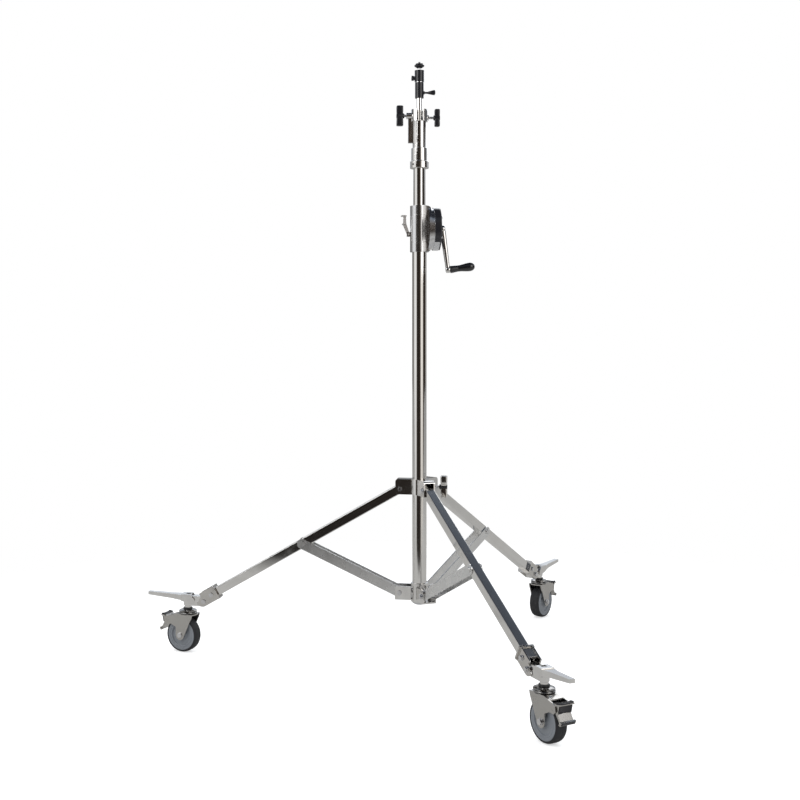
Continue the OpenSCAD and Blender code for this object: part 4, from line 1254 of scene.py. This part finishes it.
    def build(self, maker: Maker) -> None:
        """Dresses the caster's metal pieces and makes its wheel, bearing rings and pads."""
        maker.soften_all((
            ("caster_carrier_", "carrier_casting_", "polished", Slot.POLISHED, 1.2),
            ("foot_lever_", "foot_lever_casting_", "polished", Slot.POLISHED, 1.1),
            ("caster_fork_", "fork_pressing_", "fork", Slot.PRESSED, 0.8),
            ("wheel_axle_", "axle_bolt_", "fastener", Slot.FASTENER, 0.5),
            ("brake_pedal_", "pedal_pressing_", "fork", Slot.BLACK, 0.8),
        ), self.side)
        self.wheel(maker)
        self.bearing(maker)
        self.pedal_pads(maker)


# Studio


@dataclass
class Studio:
    """Pale floor, soft lamps, a white surround and the camera.

    Attributes:
        camera_at: the camera's place.
        camera_turn: the camera's turn from looking along +Y, in degrees.
        lens: focal length in millimetres on a 36 mm sensor.
        rise: the sensor's shift upwards as a share of its width.
        slide: the sensor's shift sideways as a share of its width.
        floor_r: radius where the floor has faded out for the camera.
        paper_edge: where the floor starts to end and has ended, along Y, in the metal's reflections.
        floor_in_metal: colour of the floor in the metal's reflections.
        floor_paint: the floor's own colour.
        floor_glow: strength of the white light that the floor adds for the camera.
        floor_reach: half the floor's side in metres.
        backdrop: colour of the bright backdrop behind the stand, in the metal's reflections.
        layers: what the metal reflects above and below, from the ceiling down: the direction's z where a
            layer starts and where it is full, the share that it then has, and its colour.
        matt_light: colour and strength of the even light for matt surfaces.
    """

    camera_at: tuple = (0.2959, -3.2691, 0.9241)
    camera_turn: float = 9.5
    lens: float = 52.58
    rise: float = -0.0848
    slide: float = 0.0863
    floor_r: float = 1.9
    paper_edge: tuple = (-1.15, -1.5)
    floor_in_metal: tuple = (0.60, 0.59, 0.57, 1)
    floor_paint: tuple = (0.90, 0.90, 0.90, 1)
    floor_glow: float = 0.52
    floor_reach: float = 14.0
    backdrop: tuple = (0.78, 0.83, 0.90, 1)
    layers: tuple = (
        (0.45, 0.80, 1.0, (0.20, 0.23, 0.28, 1)),
        (0.83, 0.865, 1.0, (0.02, 0.022, 0.03, 1)),
        (-0.03, -0.25, 0.5, (0.02, 0.02, 0.02, 1)),
        (-0.30, -0.55, 1.0, (0.36, 0.35, 0.335, 1)),
    )
    matt_light: tuple = ((0.95, 0.97, 1.0, 1), 0.62)

    def camera(self) -> None:
        """Places the level camera."""
        data = bpy.data.cameras.new("camera")
        data.lens = self.lens
        data.sensor_width = 36
        data.shift_x = self.slide
        data.shift_y = self.rise
        thing = put("camera", data)
        thing.location = self.camera_at
        thing.rotation_euler = (math.radians(90), 0, math.radians(self.camera_turn))
        bpy.context.scene.camera = thing

    def world(self) -> None:
        """White for the camera, even grey light for matt surfaces, and a studio's stripes for metal.

        The stripes are a ramp over the direction's angle about z. Behind the stand they turn into the bright
        backdrop a little above the horizon, everywhere into a dark ceiling higher up, and they dim below.
        """
        world = bpy.data.worlds.new("studio")
        bpy.context.scene.world = world
        world.use_nodes = True
        tree = world.node_tree
        tree.nodes.clear()

        def add(kind: str, **values: object) -> bpy.types.Node:
            """Adds a node to the world, with values as add_node takes them."""
            return add_node(tree, kind, **values)

        direction = add("SeparateXYZ", i0=add("TexCoord").outputs["Generated"])
        x, y, z = direction.outputs
        ahead = add("Math", operation="MULTIPLY", i0=y, i1=-1.0)
        angle = add("Math", operation="ARCTAN2", i0=x, i1=ahead.outputs[0])
        share = add("Math", operation="MULTIPLY_ADD", i0=angle.outputs[0], i1=0.5 / math.pi, i2=0.5)
        stripes = add("ValToRGB", i0=share.outputs[0])
        self.fill_ramp(stripes.color_ramp)
        back = add("MapRange", i0=y, i1=0.1, i2=0.5)
        above = add("MapRange", i0=z, i1=0.10, i2=0.22)
        glow = add("Math", operation="MULTIPLY", i0=back.outputs[0], i1=above.outputs[0])
        seen = add("Mix", data_type="RGBA", i0=glow.outputs[0], i6=stripes.outputs[0], i7=self.backdrop)
        for begun, full, most, colour in self.layers:
            part = add("MapRange", i0=z, i1=begun, i2=full, i4=most)
            seen = add("Mix", data_type="RGBA", i0=part.outputs[0], i6=seen.outputs[2], i7=colour)
        path = add("LightPath")
        metal = add("Background", i0=seen.outputs[2])
        matt = add("Background", i0=self.matt_light[0], i1=self.matt_light[1])
        white = add("Background", i0=(1, 1, 1, 1))
        first = add("MixShader", i0=path.outputs["Is Glossy Ray"], i1=matt.outputs[0], i2=metal.outputs[0])
        clear = add("Math", operation="MAXIMUM", i0=path.outputs["Is Camera Ray"],
                    i1=path.outputs["Is Transmission Ray"])
        last = add("MixShader", i0=clear.outputs[0], i1=first.outputs[0], i2=white.outputs[0])
        output = add("OutputWorld")
        tree.links.new(last.outputs[0], output.inputs[0])

    @staticmethod
    def fill_ramp(ramp: bpy.types.ColorRamp) -> None:
        """Sets the studio's stripes: lamps and dark flags by their angle from the front, in degrees."""
        dark, brown = (0.018, 0.015, 0.013), (0.055, 0.040, 0.030)
        cream, grey, white = (0.95, 0.91, 0.86), (0.30, 0.29, 0.28), (0.92, 0.92, 0.92)
        edge = (0.12, 0.115, 0.11)
        stops = [(-180, edge), (-150, edge), (-121, edge), (-115, grey), (-92, grey), (-84, white),
                 (-45, white), (-37, brown), (-12, dark), (23, brown), (28, cream), (60, cream), (69, brown),
                 (100, dark), (116, brown), (126, (0.5, 0.49, 0.48)), (150, grey), (180, edge)]
        while len(ramp.elements) < len(stops):
            ramp.elements.new(0.5)
        for element, (degrees, colour) in zip(ramp.elements, stops):
            element.position = degrees / 360 + 0.5
            element.color = (*colour, 1)

    def floor(self) -> None:
        """A pale floor: it keeps the stand's shadow and ends softly in the white surround."""
        mesh = bpy.data.meshes.new("floor")
        reach = self.floor_reach
        mesh.from_pydata([(-reach, -reach, 0), (reach, -reach, 0), (reach, reach, 0), (-reach, reach, 0)], [],
                         [(0, 1, 2, 3)])
        thing = put("floor", mesh)
        art = Sketch("pale_floor")
        paint = art.add("BsdfDiffuse", Color=self.floor_paint).outputs[0]
        glow = art.add("Emission", Strength=self.floor_glow).outputs[0]
        lit = art.add("AddShader", i0=paint, i1=glow).outputs[0]
        path = art.add("LightPath").outputs
        by_camera = art.add("MixShader", i0=path["Is Camera Ray"], i1=paint, i2=lit).outputs[0]
        shade = art.add("BsdfDiffuse", Color=self.floor_in_metal).outputs[0]
        by_metal = art.add("MixShader", i0=path["Is Glossy Ray"], i1=by_camera, i2=shade).outputs[0]
        distance = art.add("VectorMath", operation="LENGTH", i0=art.coordinates).outputs["Value"]
        ahead = art.add("SeparateXYZ", Vector=art.coordinates).outputs[1]
        near, off = self.paper_edge
        ends = []
        for ray, value, start, stop in (("Is Camera Ray", distance, self.floor_r * 0.6, self.floor_r),
                                        ("Is Glossy Ray", ahead, near, off)):
            far = art.add("MapRange", Value=value, From_Min=start, From_Max=stop).outputs[0]
            ends.append(art.add("Math", operation="MULTIPLY", i0=far, i1=path[ray]).outputs[0])
        away = art.add("Math", operation="MAXIMUM", i0=ends[0], i1=ends[1]).outputs[0]
        clear = art.add("BsdfTransparent").outputs[0]
        last = art.add("MixShader", i0=away, i1=by_metal, i2=clear).outputs[0]
        art.tree.links.new(last, art.output.inputs["Surface"])
        mesh.materials.append(art.material)

    @staticmethod
    def lamp(name: str, place: tuple, aim: tuple, size: float, power: float) -> None:
        """Hangs one square soft lamp that points at a place.

        Args:
            name: the lamp's name.
            place: where it hangs.
            aim: the point that it lights.
            size: its side in metres.
            power: its power in watts.
        """
        data = bpy.data.lights.new(name, "AREA")
        data.size = size
        data.energy = power
        thing = put(name, data)
        thing.location = place
        away = np.array(place) - np.array(aim)
        flat = math.hypot(away[0], away[1])
        thing.rotation_euler = (math.atan2(flat, away[2]), 0, math.atan2(away[0], -away[1]))

    def build(self) -> None:
        """Makes the camera, the world, the floor and the lamps, and sets the view transform."""
        self.camera()
        self.world()
        self.floor()
        self.lamp("key_lamp", (-2.6, -2.6, 3.2), (0, 0, 0.7), 2.4, 48)
        self.lamp("fill_lamp", (3.0, -2.0, 2.4), (0, 0, 0.7), 2.4, 26)
        self.lamp("back_lamp", (0.5, 3.2, 3.0), (0, 0, 0.6), 2.4, 30)
        bpy.context.scene.view_settings.view_transform = "Standard"


def main() -> None:
    logging.basicConfig(level=logging.INFO, format="%(name)s: %(message)s")
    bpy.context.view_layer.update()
    Studio().build()
    maker = Maker()
    parts = [Mast(), Winch(), HeadFittings(), Collars()]
    parts += [Leg(side) for side in LEGS] + [Caster(side) for side in LEGS]
    for part in parts:
        part.build(maker)
        LOG.info("%s finished", type(part).__name__)
    LOG.info("%d new pieces", maker.count)


if __name__ == "__main__":
    main()
